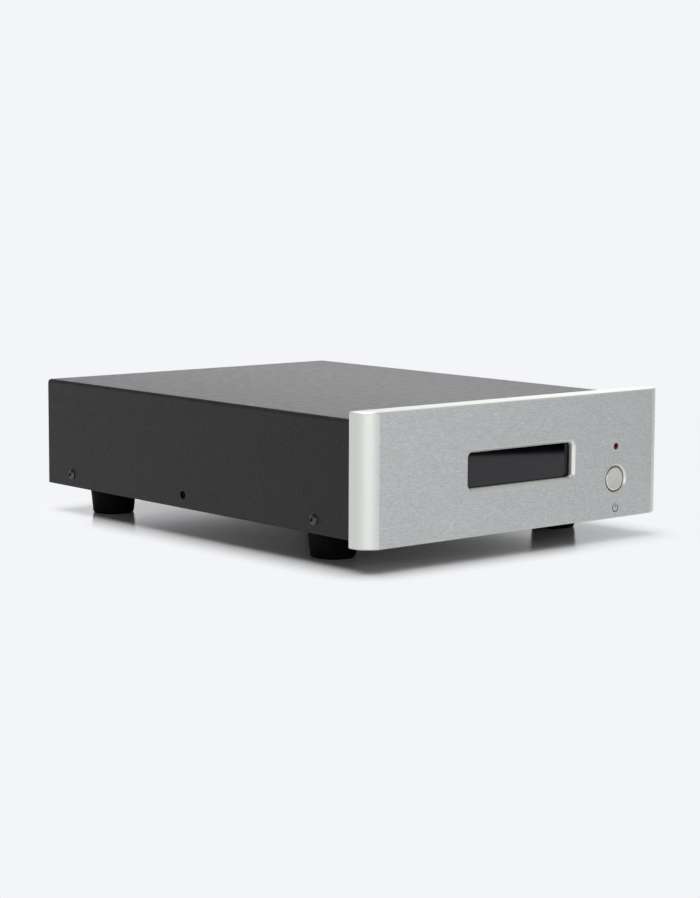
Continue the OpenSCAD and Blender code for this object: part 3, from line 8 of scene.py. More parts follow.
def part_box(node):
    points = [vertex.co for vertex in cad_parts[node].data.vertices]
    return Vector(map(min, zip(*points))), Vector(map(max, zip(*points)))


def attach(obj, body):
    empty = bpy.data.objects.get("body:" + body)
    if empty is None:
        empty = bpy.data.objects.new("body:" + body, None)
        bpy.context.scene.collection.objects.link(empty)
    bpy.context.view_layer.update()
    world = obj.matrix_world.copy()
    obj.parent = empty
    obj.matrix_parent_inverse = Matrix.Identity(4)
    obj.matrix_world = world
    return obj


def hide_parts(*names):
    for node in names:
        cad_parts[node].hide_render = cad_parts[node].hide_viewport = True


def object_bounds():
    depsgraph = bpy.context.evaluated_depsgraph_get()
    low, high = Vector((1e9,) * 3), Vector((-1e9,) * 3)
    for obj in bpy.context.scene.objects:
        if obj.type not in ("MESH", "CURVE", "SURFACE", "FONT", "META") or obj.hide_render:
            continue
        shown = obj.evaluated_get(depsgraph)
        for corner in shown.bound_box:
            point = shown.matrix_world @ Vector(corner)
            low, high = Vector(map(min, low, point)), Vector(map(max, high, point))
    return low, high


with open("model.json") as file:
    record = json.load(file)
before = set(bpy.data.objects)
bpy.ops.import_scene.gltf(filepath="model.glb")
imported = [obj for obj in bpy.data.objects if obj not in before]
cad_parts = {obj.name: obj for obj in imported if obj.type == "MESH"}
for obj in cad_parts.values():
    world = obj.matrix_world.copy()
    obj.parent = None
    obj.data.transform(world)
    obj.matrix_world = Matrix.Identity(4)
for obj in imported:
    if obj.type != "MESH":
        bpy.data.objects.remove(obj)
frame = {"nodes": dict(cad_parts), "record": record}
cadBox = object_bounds()
nodes = frame["nodes"]
record = frame["record"]
scene = bpy.context.scene
mm = 0.001  # sizes below are in millimetres, the scene is in metres
slotOf = {row["node"]: row["material_slot"] for row in record["subparts"]}
bodyOf = {n: body for body, members in record["behaviour"]["bodies"].items() for n in members}

# Camera, at the photograph's viewing angle and distance
photoCamera = {
    "place": (-832.35, -985.63, 200.17),
    "turn": 40.433,  # degrees to the right of straight ahead
    "tilt": 7.076,  # degrees downwards
    "roll": 0.269,
    "focalPixels": 2344.95,
    "imageHeight": 898,
    "sensor": 36.0,
}


def makeCamera(setup):
    turn, tilt, roll = (math.radians(setup[k]) for k in ("turn", "tilt", "roll"))
    ahead = Vector((math.sin(turn) * math.cos(tilt), math.cos(turn) * math.cos(tilt), -math.sin(tilt)))
    level = Vector((math.cos(turn), -math.sin(turn), 0.0))
    upright = level.cross(ahead)
    right = math.cos(roll) * level + math.sin(roll) * upright
    top = math.cos(roll) * upright - math.sin(roll) * level
    data = bpy.data.cameras.new("photo_camera")
    data.sensor_width = setup["sensor"]
    data.lens = setup["focalPixels"] * setup["sensor"] / setup["imageHeight"]
    camera = bpy.data.objects.new("photo_camera", data)
    scene.collection.objects.link(camera)
    view = Matrix((right, top, -ahead)).transposed().to_4x4()
    camera.matrix_world = Matrix.Translation(Vector(setup["place"]) * mm) @ view
    scene.camera = camera


makeCamera(photoCamera)
scene.view_settings.view_transform = "Standard"
print("camera: set")

# Node kinds that many trees use
mathNode = "ShaderNodeMath"
vectorNode = "ShaderNodeVectorMath"
xyzNode = "ShaderNodeCombineXYZ"


# Small tools for colours, nodes and materials
def linear(hexText):
    channels = [int(hexText[i:i + 2], 16) / 255 for i in (1, 3, 5)]
    return tuple(c / 12.92 if c <= 0.04045 else ((c + 0.055) / 1.055) ** 2.4 for c in channels) + (1.0,)


# Inputs go by socket name or in order; each is a value, a node, a node's socket, or a list of these
def wire(tree, node, inputs):
    for key, given in inputs.items() if isinstance(inputs, dict) else enumerate(inputs):
        for value in given if isinstance(given, list) else [given]:
            if isinstance(value, bpy.types.Node):
                value = value.outputs[0]
            if isinstance(value, bpy.types.NodeSocket):
                tree.links.new(value, node.inputs[key])
            else:
                node.inputs[key].default_value = value


def addNode(tree, kind, inputs=(), **settings):
    node = tree.nodes.new(kind)
    for name, value in settings.items():
        setattr(node, name, value)
    wire(tree, node, inputs)
    return node


def newMaterial(name, constants):
    material = bpy.data.materials.new(name)
    material.use_nodes = True
    tree = material.node_tree
    shader = tree.nodes["Principled BSDF"]
    wire(tree, shader, constants)
    return material, tree, shader


# Noise whose grains have a real size along each axis, in millimetres
def grain(tree, size, detail=2.0, rough=0.5):
    place = addNode(tree, "ShaderNodeTexCoord").outputs["Object"]
    spread = tuple(1 / (s * mm) for s in size)
    scaled = addNode(tree, "ShaderNodeMapping", {"Vector": place, "Scale": spread})
    look = {"Vector": scaled, "Scale": 1.0, "Detail": detail, "Roughness": rough}
    return addNode(tree, "ShaderNodeTexNoise", look)


# A pattern shifts the colour and the roughness between two values each, and raises a relief
def dress(tree, shader, pattern, colours=None, gloss=None, depth=None):
    usual = {"Value": pattern, "From Min": 0.3, "From Max": 0.7}  # noise seldom leaves these
    if colours:
        share = addNode(tree, "ShaderNodeMapRange", {**usual, "To Min": 0.0, "To Max": 1.0})
        blend = {0: share, 6: linear(colours[0]), 7: linear(colours[1])}
        tint = addNode(tree, "ShaderNodeMix", blend, data_type="RGBA")
        wire(tree, shader, {"Base Color": tint.outputs[2]})
    if gloss:
        rough = addNode(tree, "ShaderNodeMapRange", {**usual, "To Min": gloss[0], "To Max": gloss[1]})
        wire(tree, shader, {"Roughness": rough})
    if depth:
        bumps = {"Height": pattern, "Distance": depth * mm, "Strength": 1.0}
        wire(tree, shader, {"Normal": addNode(tree, "ShaderNodeBump", bumps)})


# A finish with one grain: its size, and its detail where that isn't the usual one
def grained(name, constants, pattern, colours, gloss, depth=None):
    material, tree, shader = newMaterial(name, constants)
    dress(tree, shader, grain(tree, *pattern), colours, gloss, depth)
    return material


# Metals
brushing = {"streak": (1.4, 0.6, 0.5), "fine": (3.6, 0.3, 0.3), "wave": (26.0, 20.0, 9.0), "depth": 0.012}


def brushedAnodisedAluminium():
    # plate brushed along its length, then clear anodised: short wavy streaks, pale and dark, a sheen along x
    # the streaks are drawn wider than real brush marks so that they show at this distance
    sheen = {"Metallic": 1.0, "Anisotropic": 0.5}
    material, tree, shader = newMaterial("brushed_anodised_aluminium", sheen)
    streaks = [grain(tree, brushing[k], 1.5) for k in ("streak", "fine")]
    both = addNode(tree, mathNode, streaks, operation="ADD")
    marks = addNode(tree, mathNode, (both, 0.5), operation="MULTIPLY")
    dress(tree, shader, marks, colours=("#b5b9b7", "#dadcda"), depth=brushing["depth"])
    dress(tree, shader, grain(tree, brushing["wave"], 1.0), gloss=(0.42, 0.48))
    lay = addNode(tree, "ShaderNodeTangent", direction_type="RADIAL", axis="X")
    wire(tree, shader, {"Tangent": lay})
    return material


def satinAnodisedAluminium(name, colours, gloss):
    # aluminium blasted fine and clear anodised: an even silky sheen with no lines
    return grained(name, {"Metallic": 1.0}, ((0.5, 0.5, 0.5), 2.0, 0.6), colours, gloss, 0.004)


def blackAnodisedAluminium():
    # extruded and black anodised: dark satin with faint lines along the extrusion
    lines = ((0.4, 12.0, 0.4), 2.0)
    return grained("black_anodised_aluminium", {"Metallic": 0.6}, lines, ("#1b1c1e", "#26282b"), (0.32, 0.45))


def blackOxideSteel():
    # forged screws, blackened: near black with a soft metal glint on the dome's edge
    patches = ((0.9, 0.9, 0.9), 3.0)
    tones = ("#3c3c3e", "#5c5c5e")
    return grained("black_oxide_steel", {"Metallic": 0.85}, patches, tones, (0.18, 0.28), 0.006)


def platedMetal(name, colours, gloss, cloud):
    # barrel plated, or turned and polished: bright, with faint clouds where the surface varies
    return grained(name, {"Metallic": 1.0}, ((cloud,) * 3, 3.0), colours, gloss)


# Coatings and plastics
powderCoat = {"grit": 1.15, "peel": 5.0, "depth": 0.06}


def blackPowderCoat():
    # polyester powder baked on sheet steel: black, with a fine even grit that breaks up its reflections
    # the grit is drawn a little coarser than real, to show at this distance
    film = {"IOR": 1.5, "Specular IOR Level": 0.29}
    material, tree, shader = newMaterial("black_powder_coat_textured", film)
    grit = grain(tree, (powderCoat["grit"],) * 3, 2.0, 0.6)
    dress(tree, shader, grit, colours=("#010101", "#202022"), depth=powderCoat["depth"])
    dress(tree, shader, grain(tree, (powderCoat["peel"],) * 3), gloss=(0.40, 0.46))
    return material


def mouldedPlastic(name, colours, gloss, texture, shine=0.5):
    # injection moulded: even colour with a spark-eroded texture that softens the gloss
    skin = {"IOR": 1.5, "Specular IOR Level": shine}
    return grained(name, skin, ((texture,) * 3, 3.0), colours, gloss, 0.015)


def smokedAcrylic():
    # cast acrylic tinted to smoke, polished: a dark violet-grey mirror, with what lies behind only a hint
    polish = {"IOR": 1.49, "Specular Tint": linear("#faf5fe")}
    haze = ((30.0, 30.0, 12.0), 1.0)
    return grained("smoked_acrylic_polished", polish, haze, ("#030205", "#060409"), (0.04, 0.055))


def clearGlass(name, colours):
    # drawn glass, polished: clear and hard edged
    clear = {"IOR": 1.52, "Transmission Weight": 0.85}
    return grained(name, clear, ((6.0, 6.0, 6.0), 1.0), colours, (0.02, 0.05))


def redLampEpoxy():
    # cast epoxy dyed red: deep red body, a small hot glint on the dome
    cast = {"IOR": 1.54, "Specular IOR Level": 0.06}
    return grained("red_epoxy_cast", cast, ((1.2, 1.2, 1.2), 1.0), ("#640210", "#820316"), (0.12, 0.2))


def solderMaskBoard():
    # glass-fibre laminate under green lacquer: even green with fine tracks that stand out a little
    material, tree, shader = newMaterial("solder_mask_on_laminate", {"IOR": 1.5})
    place = addNode(tree, "ShaderNodeTexCoord").outputs["Object"]
    tracks = addNode(tree, "ShaderNodeTexBrick", {
        "Vector": place, "Scale": 1.0, "Brick Width": 9 * mm, "Row Height": 1.3 * mm,
        "Mortar Size": 0.25 * mm, "Mortar": linear("#1c6038"),
        "Color1": linear("#0f3d22"), "Color2": linear("#12482a"),
    }).outputs
    wire(tree, shader, {"Base Color": tracks["Color"]})
    dress(tree, shader, tracks["Fac"], depth=0.03)
    dress(tree, shader, grain(tree, (0.8, 0.8, 0.8)), gloss=(0.3, 0.42))
    return material


filmTurns = 44  # overlaps of the film round the transformer's ring


def wrappedFilm():
    # polyester film wound round the core in overlapping turns: amber bands, glossy
    material, tree, shader = newMaterial("polyester_film_wound", {"IOR": 1.6})
    low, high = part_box("transformer_coil")
    place = addNode(tree, "ShaderNodeTexCoord").outputs["Object"]
    local = addNode(tree, vectorNode, (place, (low + high) / 2), operation="SUBTRACT")
    part = addNode(tree, "ShaderNodeSeparateXYZ", (local,)).outputs
    angle = addNode(tree, mathNode, (part["Y"], part["X"]), operation="ARCTAN2")
    turns = addNode(tree, mathNode, (angle, filmTurns / math.tau), operation="MULTIPLY")
    band = addNode(tree, mathNode, (turns,), operation="FRACT")
    dress(tree, shader, band, ("#8c6412", "#b98a22"), (0.2, 0.3), 0.1)
    return material


def printedInk(name, colours):
    # screen print: a thin matt film that lies on the surface
    return grained(name, {"IOR": 1.5}, ((0.3, 0.3, 0.3), 2.0), colours, (0.5, 0.6))


# Each finish by its slot: colours, roughness from and to, grain in millimetres, shine where it is low
finishes = {
    "brushed_aluminium": brushedAnodisedAluminium(),
    "satin_aluminium": satinAnodisedAluminium(
        "satin_anodised_aluminium", ("#d2d2cb", "#dedfd8"), (0.28, 0.36),
    ),
    "dark_aluminium": blackAnodisedAluminium(),
    "black_powder_coat": blackPowderCoat(),
    "black_steel": blackOxideSteel(),
    "zinc_steel": platedMetal("zinc_plated_steel", ("#a9adb1", "#c3c6c9"), (0.25, 0.38), 3.0),
    "foot_plastic": mouldedPlastic("foot_polymer_moulded", ("#020202", "#050506"), (0.6, 0.72), 0.9, 0.08),
    "black_rubber": mouldedPlastic("black_rubber_moulded", ("#0c0c0c", "#141414"), (0.7, 0.85), 0.8),
    "smoked_acrylic": smokedAcrylic(),
    "display_glass": clearGlass("display_glass_polished", ("#20222a", "#2a2d36")),
    "circuit_board": solderMaskBoard(),
    "brass": platedMetal("brass_turned", ("#b08d48", "#c9a55c"), (0.22, 0.34), 2.0),
    "red_lamp": redLampEpoxy(),
    "black_plastic": mouldedPlastic("black_nylon_moulded", ("#0b0b0c", "#131314"), (0.38, 0.5), 0.7),
    "ivory_plastic": mouldedPlastic("ivory_nylon_moulded", ("#cfc9b4", "#dad5c2"), (0.4, 0.5), 0.8),
    "white_plastic": mouldedPlastic("white_acetal_moulded", ("#dcdad2", "#e8e6df"), (0.35, 0.45), 0.8),
    "grey_plastic": mouldedPlastic("grey_vinyl_extruded", ("#8a8d90", "#97999c"), (0.45, 0.55), 1.2),
    "green_plastic": mouldedPlastic("green_nylon_moulded", ("#1f5a35", "#286b42"), (0.4, 0.5), 0.8),
    "brown_lead": mouldedPlastic("brown_vinyl_extruded", ("#4a2c18", "#5a3820"), (0.35, 0.45), 1.0),
    "red_lead": mouldedPlastic("red_vinyl_extruded", ("#7a1414", "#921c1c"), (0.35, 0.45), 1.0),
    "wrapped_coil": wrappedFilm(),
    "capacitor_sleeve": mouldedPlastic("capacitor_sleeve_shrunk", ("#12151c", "#1a1e27"), (0.22, 0.32), 2.0),
    "nickel_plate": platedMetal("nickel_plated_sheet", ("#b4b2ab", "#c8c6c0"), (0.2, 0.32), 2.5),
    "gold_plate": platedMetal("gold_plated_brass", ("#d2a84e", "#e6c06a"), (0.16, 0.26), 1.5),
    "fuse_glass": clearGlass("fuse_glass_drawn", ("#dfe4e4", "#eef2f2")),
}
# the plate's ends, bevels and edges: a real satin finish, coloured paler than the brushed face as painted
# highlight, standing in for the brighter light they catch
endFinishPaintedLighter = satinAnodisedAluminium("satin_anodised_plate_ends", ("#d7d9d3", "#dfe1db"), (0.42, 0.5))
wallFinish = satinAnodisedAluminium("blasted_anodised_window_walls", ("#dcdcd6", "#e4e4de"), (0.66, 0.74))
darkInk = printedInk("dark_screen_print", ("#232527", "#2e3032"))
whiteInk = printedInk("white_screen_print", ("#c9cacb", "#d8d9da"))
print("finishes:", len(finishes))


# Small tools for meshes
def settle(piece):
    graph = bpy.context.evaluated_depsgraph_get()
    made = piece.evaluated_get(graph)
    mesh = bpy.data.meshes.new_from_object(made, preserve_all_data_layers=True, depsgraph=graph)
    piece.modifiers.clear()
    piece.data = mesh
    mesh.name = piece.name
    return piece


def newPiece(name, mesh, *materials):
    piece = bpy.data.objects.new(name, mesh)
    scene.collection.objects.link(piece)
    for material in materials:
        mesh.materials.append(material)
    return piece


def meshOf(bm, name):
    mesh = bpy.data.meshes.new(name)
    bm.to_mesh(mesh)
    bm.free()
    mesh.shade_smooth()
    return mesh


def softenEdges(piece, width, angle=35.0, steps=2):
    piece.data.shade_smooth()
    edges = piece.modifiers.new("edges", "BEVEL")
    edges.width = width * mm
    edges.segments = steps
    edges.limit_method = "ANGLE"
    edges.angle_limit = math.radians(angle)
    edges.use_clamp_overlap = False
    flats = piece.modifiers.new("flats", "WEIGHTED_NORMAL")  # keeps broad faces flat
    flats.weight = 100
    return settle(piece)


# A node's own shape as a clean mesh with softened edges: width and weld in millimetres, the rest in degrees
def refined(name, node, width, *materials, angle=35.0, flat=0.5, weld=0.002):
    bm = bmesh.new()
    bm.from_mesh(nodes[node].data)
    bmesh.ops.remove_doubles(bm, verts=bm.verts, dist=weld * mm)
    if flat:
        bmesh.ops.dissolve_limit(bm, angle_limit=math.radians(flat), verts=bm.verts, edges=bm.edges)
    for face in bm.faces:
        face.material_index = 0
    piece = newPiece(name, meshOf(bm, name), *(materials or [finishes[slotOf[node]]]))
    return softenEdges(piece, width, angle)


def paint(piece, rule):
    for face in piece.data.polygons:
        face.material_index = rule(face.center / mm, face.normal)


# Corners of an outline drawn as arcs: each point is (across, along, corner radius)
def rounded(points, steps=6):
    path = []
    for i, (x, y, r) in enumerate(points):
        if r == 0:
            path.append(Vector((x, y)))
            continue
        corner = Vector((x, y))
        before = (Vector(points[i - 1][:2]) - corner).normalized()
        after = (Vector(points[(i + 1) % len(points)][:2]) - corner).normalized()
        half = before.angle(after) / 2
        centre = corner + (before + after).normalized() * (r / math.sin(half))
        start = corner + before * (r / math.tan(half)) - centre
        sweep = start.angle_signed(corner + after * (r / math.tan(half)) - centre)
        for k in range(steps + 1):
            turn = -sweep * k / steps
            path.append(centre + Matrix.Rotation(turn, 2) @ start)
    return path


# Solid of revolution: outline points are (radius, place along the axis), closed to a loop
def turned(bm, outline, centre, axis, steps):
    frameOf = Vector(axis).to_track_quat("Z", "Y").to_matrix()
    rings = []
    for radius, along in outline:
        count = 1 if radius < 1e-6 else steps
        ring = []
        for k in range(count):
            turn = math.tau * k / steps
            local = Vector((radius * math.cos(turn), radius * math.sin(turn), along))
            ring.append(bm.verts.new((Vector(centre) + frameOf @ local) * mm))
        rings.append(ring)
    made = []
    for ring, other in zip(rings, rings[1:] + rings[:1]):
        for k in range(steps):
            corners = []
            for side, at in ((ring, k), (ring, k + 1), (other, k + 1), (other, k)):
                v = side[at % len(side)]
                if v not in corners:
                    corners.append(v)
            if len(corners) > 2:
                made.append(bm.faces.new(corners))
    bmesh.ops.recalc_face_normals(bm, faces=made)
    return made


def sharpen(piece, angle=32.0):
    piece.data.set_sharp_from_angle(angle=math.radians(angle))
    return piece


def stand(piece, node):
    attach(piece, bodyOf[node])
    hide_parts(node)
    return piece


# A piece of one finish turned from its outline, in place of a node
def standTurned(name, node, outline, centre, axis, steps):
    bm = bmesh.new()
    turned(bm, rounded(outline), centre, axis, steps)
    stand(sharpen(newPiece(name, meshOf(bm, name), finishes[slotOf[node]])), node)


# Low corner, high corner and middle of a node's box
def boxMm(node):
    low, high = (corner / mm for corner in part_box(node))
    return low, high, (low + high) / 2


# Boxes of the separate solids in a node
def solidBoxes(node):
    bm = bmesh.new()
    bm.from_mesh(nodes[node].data)
    bmesh.ops.remove_doubles(bm, verts=bm.verts, dist=0.002 * mm)
    left = set(bm.verts)
    boxes = []
    while left:
        queue = [left.pop()]
        found = list(queue)
        while queue:
            for edge in queue.pop().link_edges:
                for v in edge.verts:
                    if v in left:
                        left.remove(v)
                        queue.append(v)
                        found.append(v)
        low = Vector([min(v.co[i] for v in found) for i in range(3)]) / mm
        high = Vector([max(v.co[i] for v in found) for i in range(3)]) / mm
        boxes.append((low, high))
    bm.free()
    return sorted(boxes, key=lambda b: tuple(round(c, 1) for c in b[0]))


# Geometry Nodes: a tree with named inputs, and a plain mesh grown from it
def newTree(name, inputs):
    tree = bpy.data.node_groups.new(name, "GeometryNodeTree")
    tree.interface.new_socket("Geometry", in_out="INPUT", socket_type="NodeSocketGeometry")
    tree.interface.new_socket("Geometry", in_out="OUTPUT", socket_type="NodeSocketGeometry")
    for label, kind in inputs.items():
        tree.interface.new_socket(label, in_out="INPUT", socket_type="NodeSocket" + kind)
    return tree, addNode(tree, "NodeGroupInput").outputs


def closeTree(tree, geometry, material):
    real = addNode(tree, "GeometryNodeRealizeInstances", {"Geometry": geometry})
    painted = addNode(tree, "GeometryNodeSetMaterial", {"Geometry": real, "Material": material})
    addNode(tree, "NodeGroupOutput", {"Geometry": painted})


def pointMesh(name, places, edges=(), **attributes):
    mesh = bpy.data.meshes.new(name)
    mesh.from_pydata([tuple(Vector(p) * mm) for p in places], edges, [])
    for label, values in attributes.items():
        isVector = hasattr(values[0], "__len__")
        layer = mesh.attributes.new(label, "FLOAT_VECTOR" if isVector else "FLOAT", "POINT")
        for item, value in zip(layer.data, values):
            if isVector:
                item.vector = value
            else:
                item.value = value
    return mesh


def grow(name, tree, mesh, values):
    piece = newPiece(name, mesh)
    nodesOn = piece.modifiers.new("grow", "NODES")
    nodesOn.node_group = tree
    for item in tree.interface.items_tree:
        if item.in_out == "INPUT" and item.name in values:
            nodesOn[item.identifier] = values[item.name]
    settle(piece)
    piece.data.shade_smooth()
    return piece


# A thin face drawn up to a closed solid
def drawnUp(tree, face, height):
    drawn = addNode(tree, "GeometryNodeExtrudeMesh", {
        "Mesh": face, "Offset": (0.0, 0.0, 1.0), "Offset Scale": height, "Individual": False,
    }, mode="FACES")
    under = addNode(tree, "GeometryNodeFlipFaces", {"Mesh": face})
    both = addNode(tree, "GeometryNodeJoinGeometry", {"Geometry": [drawn, under]})
    return addNode(tree, "GeometryNodeMergeByDistance", {"Geometry": both, "Distance": 0.001 * mm})


# A mesh lifted along z by a value or a socket
def lifted(tree, mesh, height):
    offset = addNode(tree, xyzNode, {"Z": height})
    return addNode(tree, "GeometryNodeTransform", {"Geometry": mesh, "Translation": offset})


# Tree: socket-head screws on points, each along its point's axis
def screwTree():
    sizes = ["Seat Radius", "Head Radius", "Rim", "Crown", "Sunk"]
    sizes += ["Socket Radius", "Socket Depth", "Shank Radius", "Shank Length"]
    tree, given = newTree("socket_screws", {**{s: "Float" for s in sizes}, "Finish": "Material"})
    blank = addNode(tree, "GeometryNodeMeshCone", {
        "Vertices": 48, "Side Segments": 1, "Fill Segments": 8, "Radius Top": given["Head Radius"],
        "Radius Bottom": given["Seat Radius"], "Depth": given["Rim"],
    }, fill_type="TRIANGLE_FAN")
    spot = addNode(tree, "ShaderNodeSeparateXYZ", (addNode(tree, "GeometryNodeInputPosition"),)).outputs
    squares = [addNode(tree, mathNode, (spot[way], 2.0), operation="POWER") for way in "XY"]
    square = addNode(tree, mathNode, squares, operation="ADD")
    limit = addNode(tree, mathNode, (given["Head Radius"], 2.0), operation="POWER")
    share = addNode(tree, mathNode, (square, limit), operation="DIVIDE")
    inward = addNode(tree, mathNode, (1.0, share), operation="SUBTRACT")
    height = addNode(tree, mathNode, (inward, given["Crown"]), operation="MULTIPLY")
    lift = addNode(tree, xyzNode, {"Z": height})
    dome = {"Geometry": blank, "Selection": blank.outputs["Top"], "Offset": lift}
    head = addNode(tree, "GeometryNodeSetPosition", dome)
    rodSize = {"Vertices": 32, "Radius": given["Shank Radius"], "Depth": given["Shank Length"]}
    rod = addNode(tree, "GeometryNodeMeshCylinder", rodSize)
    halfRim = addNode(tree, mathNode, (given["Rim"], 0.5), operation="MULTIPLY")
    below = addNode(tree, mathNode, (given["Shank Length"], -0.5, halfRim), operation="MULTIPLY_ADD")
    joined = {"Mesh 2": [head, lifted(tree, rod, below)]}
    solid = addNode(tree, "GeometryNodeMeshBoolean", joined, operation="UNION", solver="EXACT")
    keyLength = addNode(tree, mathNode, (given["Socket Depth"], 2.0), operation="MULTIPLY")
    keySize = {"Vertices": 6, "Radius": given["Socket Radius"], "Depth": keyLength}
    key = addNode(tree, "GeometryNodeMeshCylinder", keySize)
    top = addNode(tree, mathNode, (given["Rim"], given["Crown"]), operation="ADD")
    cut = {"Mesh 1": solid, "Mesh 2": lifted(tree, key, top)}
    screw = addNode(tree, "GeometryNodeMeshBoolean", cut, operation="DIFFERENCE", solver="EXACT")
    sink = addNode(tree, mathNode, (given["Sunk"], -1.0), operation="MULTIPLY")
    axis = addNode(tree, "GeometryNodeInputNamedAttribute", {"Name": "axis"}, data_type="FLOAT_VECTOR")
    turn = addNode(tree, "FunctionNodeAlignRotationToVector", {"Vector": axis}, axis="Z")
    points = addNode(tree, "GeometryNodeMeshToPoints", {"Mesh": given["Geometry"]})
    seated = {"Points": points, "Instance": lifted(tree, screw, sink), "Rotation": turn}
    closeTree(tree, addNode(tree, "GeometryNodeInstanceOnPoints", seated), given["Finish"])
    return tree


# Tree: folded sheet, an outline with bends drawn out to a depth, then drilled across
def foldedSheetTree():
    tree, given = newTree("folded_sheet", {
        "Depth": "Float", "Rear": "Float", "Bend Steps": "Int", "Across": "Float",
        "Holes": "Object", "Finish": "Material",
    })
    bend = addNode(tree, "GeometryNodeInputNamedAttribute", {"Name": "bend"}, data_type="FLOAT")
    line = addNode(tree, "GeometryNodeMeshToCurve", {"Mesh": given["Geometry"]})
    bent = addNode(tree, "GeometryNodeFilletCurve", {
        "Curve": line, "Count": given["Bend Steps"], "Radius": bend, "Limit Radius": True,
    }, mode="POLY")
    face = addNode(tree, "GeometryNodeFillCurve", {"Curve": bent}, mode="NGONS")
    drawn = drawnUp(tree, face, given["Depth"])
    back = addNode(tree, xyzNode, {"Y": given["Rear"]})
    sheet = addNode(tree, "GeometryNodeTransform", {
        "Geometry": drawn, "Translation": back, "Rotation": (math.pi / 2, 0.0, 0.0),
    })
    holes = addNode(tree, "GeometryNodeObjectInfo", {"Object": given["Holes"]}).outputs["Geometry"]
    spots = addNode(tree, "GeometryNodeMeshToPoints", {"Mesh": holes})
    radius = addNode(tree, "GeometryNodeInputNamedAttribute", {"Name": "bore"}, data_type="FLOAT")
    girth = addNode(tree, xyzNode, {"X": radius, "Y": radius, "Z": 1.0})
    drillSize = {"Vertices": 40, "Radius": 1.0, "Depth": given["Across"]}
    drill = addNode(tree, "GeometryNodeMeshCylinder", drillSize)
    drills = addNode(tree, "GeometryNodeInstanceOnPoints", {
        "Points": spots, "Instance": drill, "Rotation": (0.0, math.pi / 2, 0.0), "Scale": girth,
    })
    cut = {"Mesh 1": sheet, "Mesh 2": addNode(tree, "GeometryNodeRealizeInstances", {"Geometry": drills})}
    drilled = addNode(tree, "GeometryNodeMeshBoolean", cut, operation="DIFFERENCE")
    closeTree(tree, drilled, given["Finish"])
    return tree


# Tree: rows of spring contacts, each a strip that dips towards its free end
def contactTree():
    sizes = {label: "Float" for label in ("Pitch", "Width", "Length", "Dip", "Thickness")}
    tree, given = newTree("spring_contacts", {"Count": "Int", **sizes, "Finish": "Material"})
    strip = addNode(tree, "GeometryNodeMeshGrid", {
        "Size X": given["Width"], "Size Y": given["Length"], "Vertices X": 2, "Vertices Y": 10,
    })
    spot = addNode(tree, "ShaderNodeSeparateXYZ", (addNode(tree, "GeometryNodeInputPosition"),)).outputs
    along = addNode(tree, mathNode, (spot["Y"], given["Length"]), operation="DIVIDE")
    share = addNode(tree, mathNode, (along, 0.5), operation="ADD")
    swing = addNode(tree, mathNode, (share, 2.4), operation="MULTIPLY")  # radians, past the lowest point
    wave = addNode(tree, mathNode, (swing,), operation="SINE")
    fall = addNode(tree, mathNode, (wave, given["Dip"]), operation="MULTIPLY")
    drop = addNode(tree, mathNode, (fall, -1.0), operation="MULTIPLY")
    offset = addNode(tree, xyzNode, {"Z": drop})
    curved = addNode(tree, "GeometryNodeSetPosition", {"Geometry": strip, "Offset": offset})
    contact = drawnUp(tree, curved, given["Thickness"])
    step = addNode(tree, xyzNode, {"X": given["Pitch"]})
    gaps = addNode(tree, mathNode, (given["Count"], 1.0), operation="SUBTRACT")
    length = addNode(tree, mathNode, (gaps, given["Pitch"]), operation="MULTIPLY")
    first = addNode(tree, mathNode, (length, -0.5), operation="MULTIPLY")
    start = addNode(tree, xyzNode, {"X": first})
    line = addNode(tree, "GeometryNodeMeshLine", {
        "Count": given["Count"], "Start Location": start, "Offset": step,
    })
    row = addNode(tree, "GeometryNodeInstanceOnPoints", {"Points": line, "Instance": contact})
    rowReal = addNode(tree, "GeometryNodeRealizeInstances", {"Geometry": row})
    points = addNode(tree, "GeometryNodeMeshToPoints", {"Mesh": given["Geometry"]})
    placed = addNode(tree, "GeometryNodeInstanceOnPoints", {"Points": points, "Instance": rowReal})
    closeTree(tree, placed, given["Finish"])
    return tree


# Front plate: thick aluminium, brushed on its face, its ends and bevels left satin and coloured paler as a
# painted highlight, its window blasted
frontPlate = {"edge": 0.22, "crease": 12.0, "weld": 0.07, "faceOn": 0.995, "wallOn": 0.3}


def makeFrontPlate(setup):
    # the second finish, on the ends and bevels, carries a painted highlight in its paler colour
    metals = (finishes["brushed_aluminium"], endFinishPaintedLighter, wallFinish)
    ways = {"angle": setup["crease"], "weld": setup["weld"]}
    piece = refined("front_plate", "front_panel", setup["edge"], *metals, **ways)
    lensLow, lensHigh = boxMm("display_lens")[:2]

    def finishAt(centre, normal):
        inWindow = lensLow.x < centre.x < lensHigh.x and lensLow.z < centre.z < lensHigh.z
        isWall = inWindow and abs(normal.y) < setup["wallOn"]
        return 0 if normal.y < -setup["faceOn"] else 2 if isWall else 1

    paint(piece, finishAt)
    stand(piece, "front_panel")


makeFrontPlate(frontPlate)
print("front plate: made")

# Cover: one sheet folded to a U that opens downwards, drilled low on its sides
cover = {
    "sheet": 1.5, "fold": 2.1, "bendSteps": 8, "edge": 0.22, "crease": 40.0,
    "screwHole": 3.4, "spareHole": 4.4, "drillPast": 10.0,
}


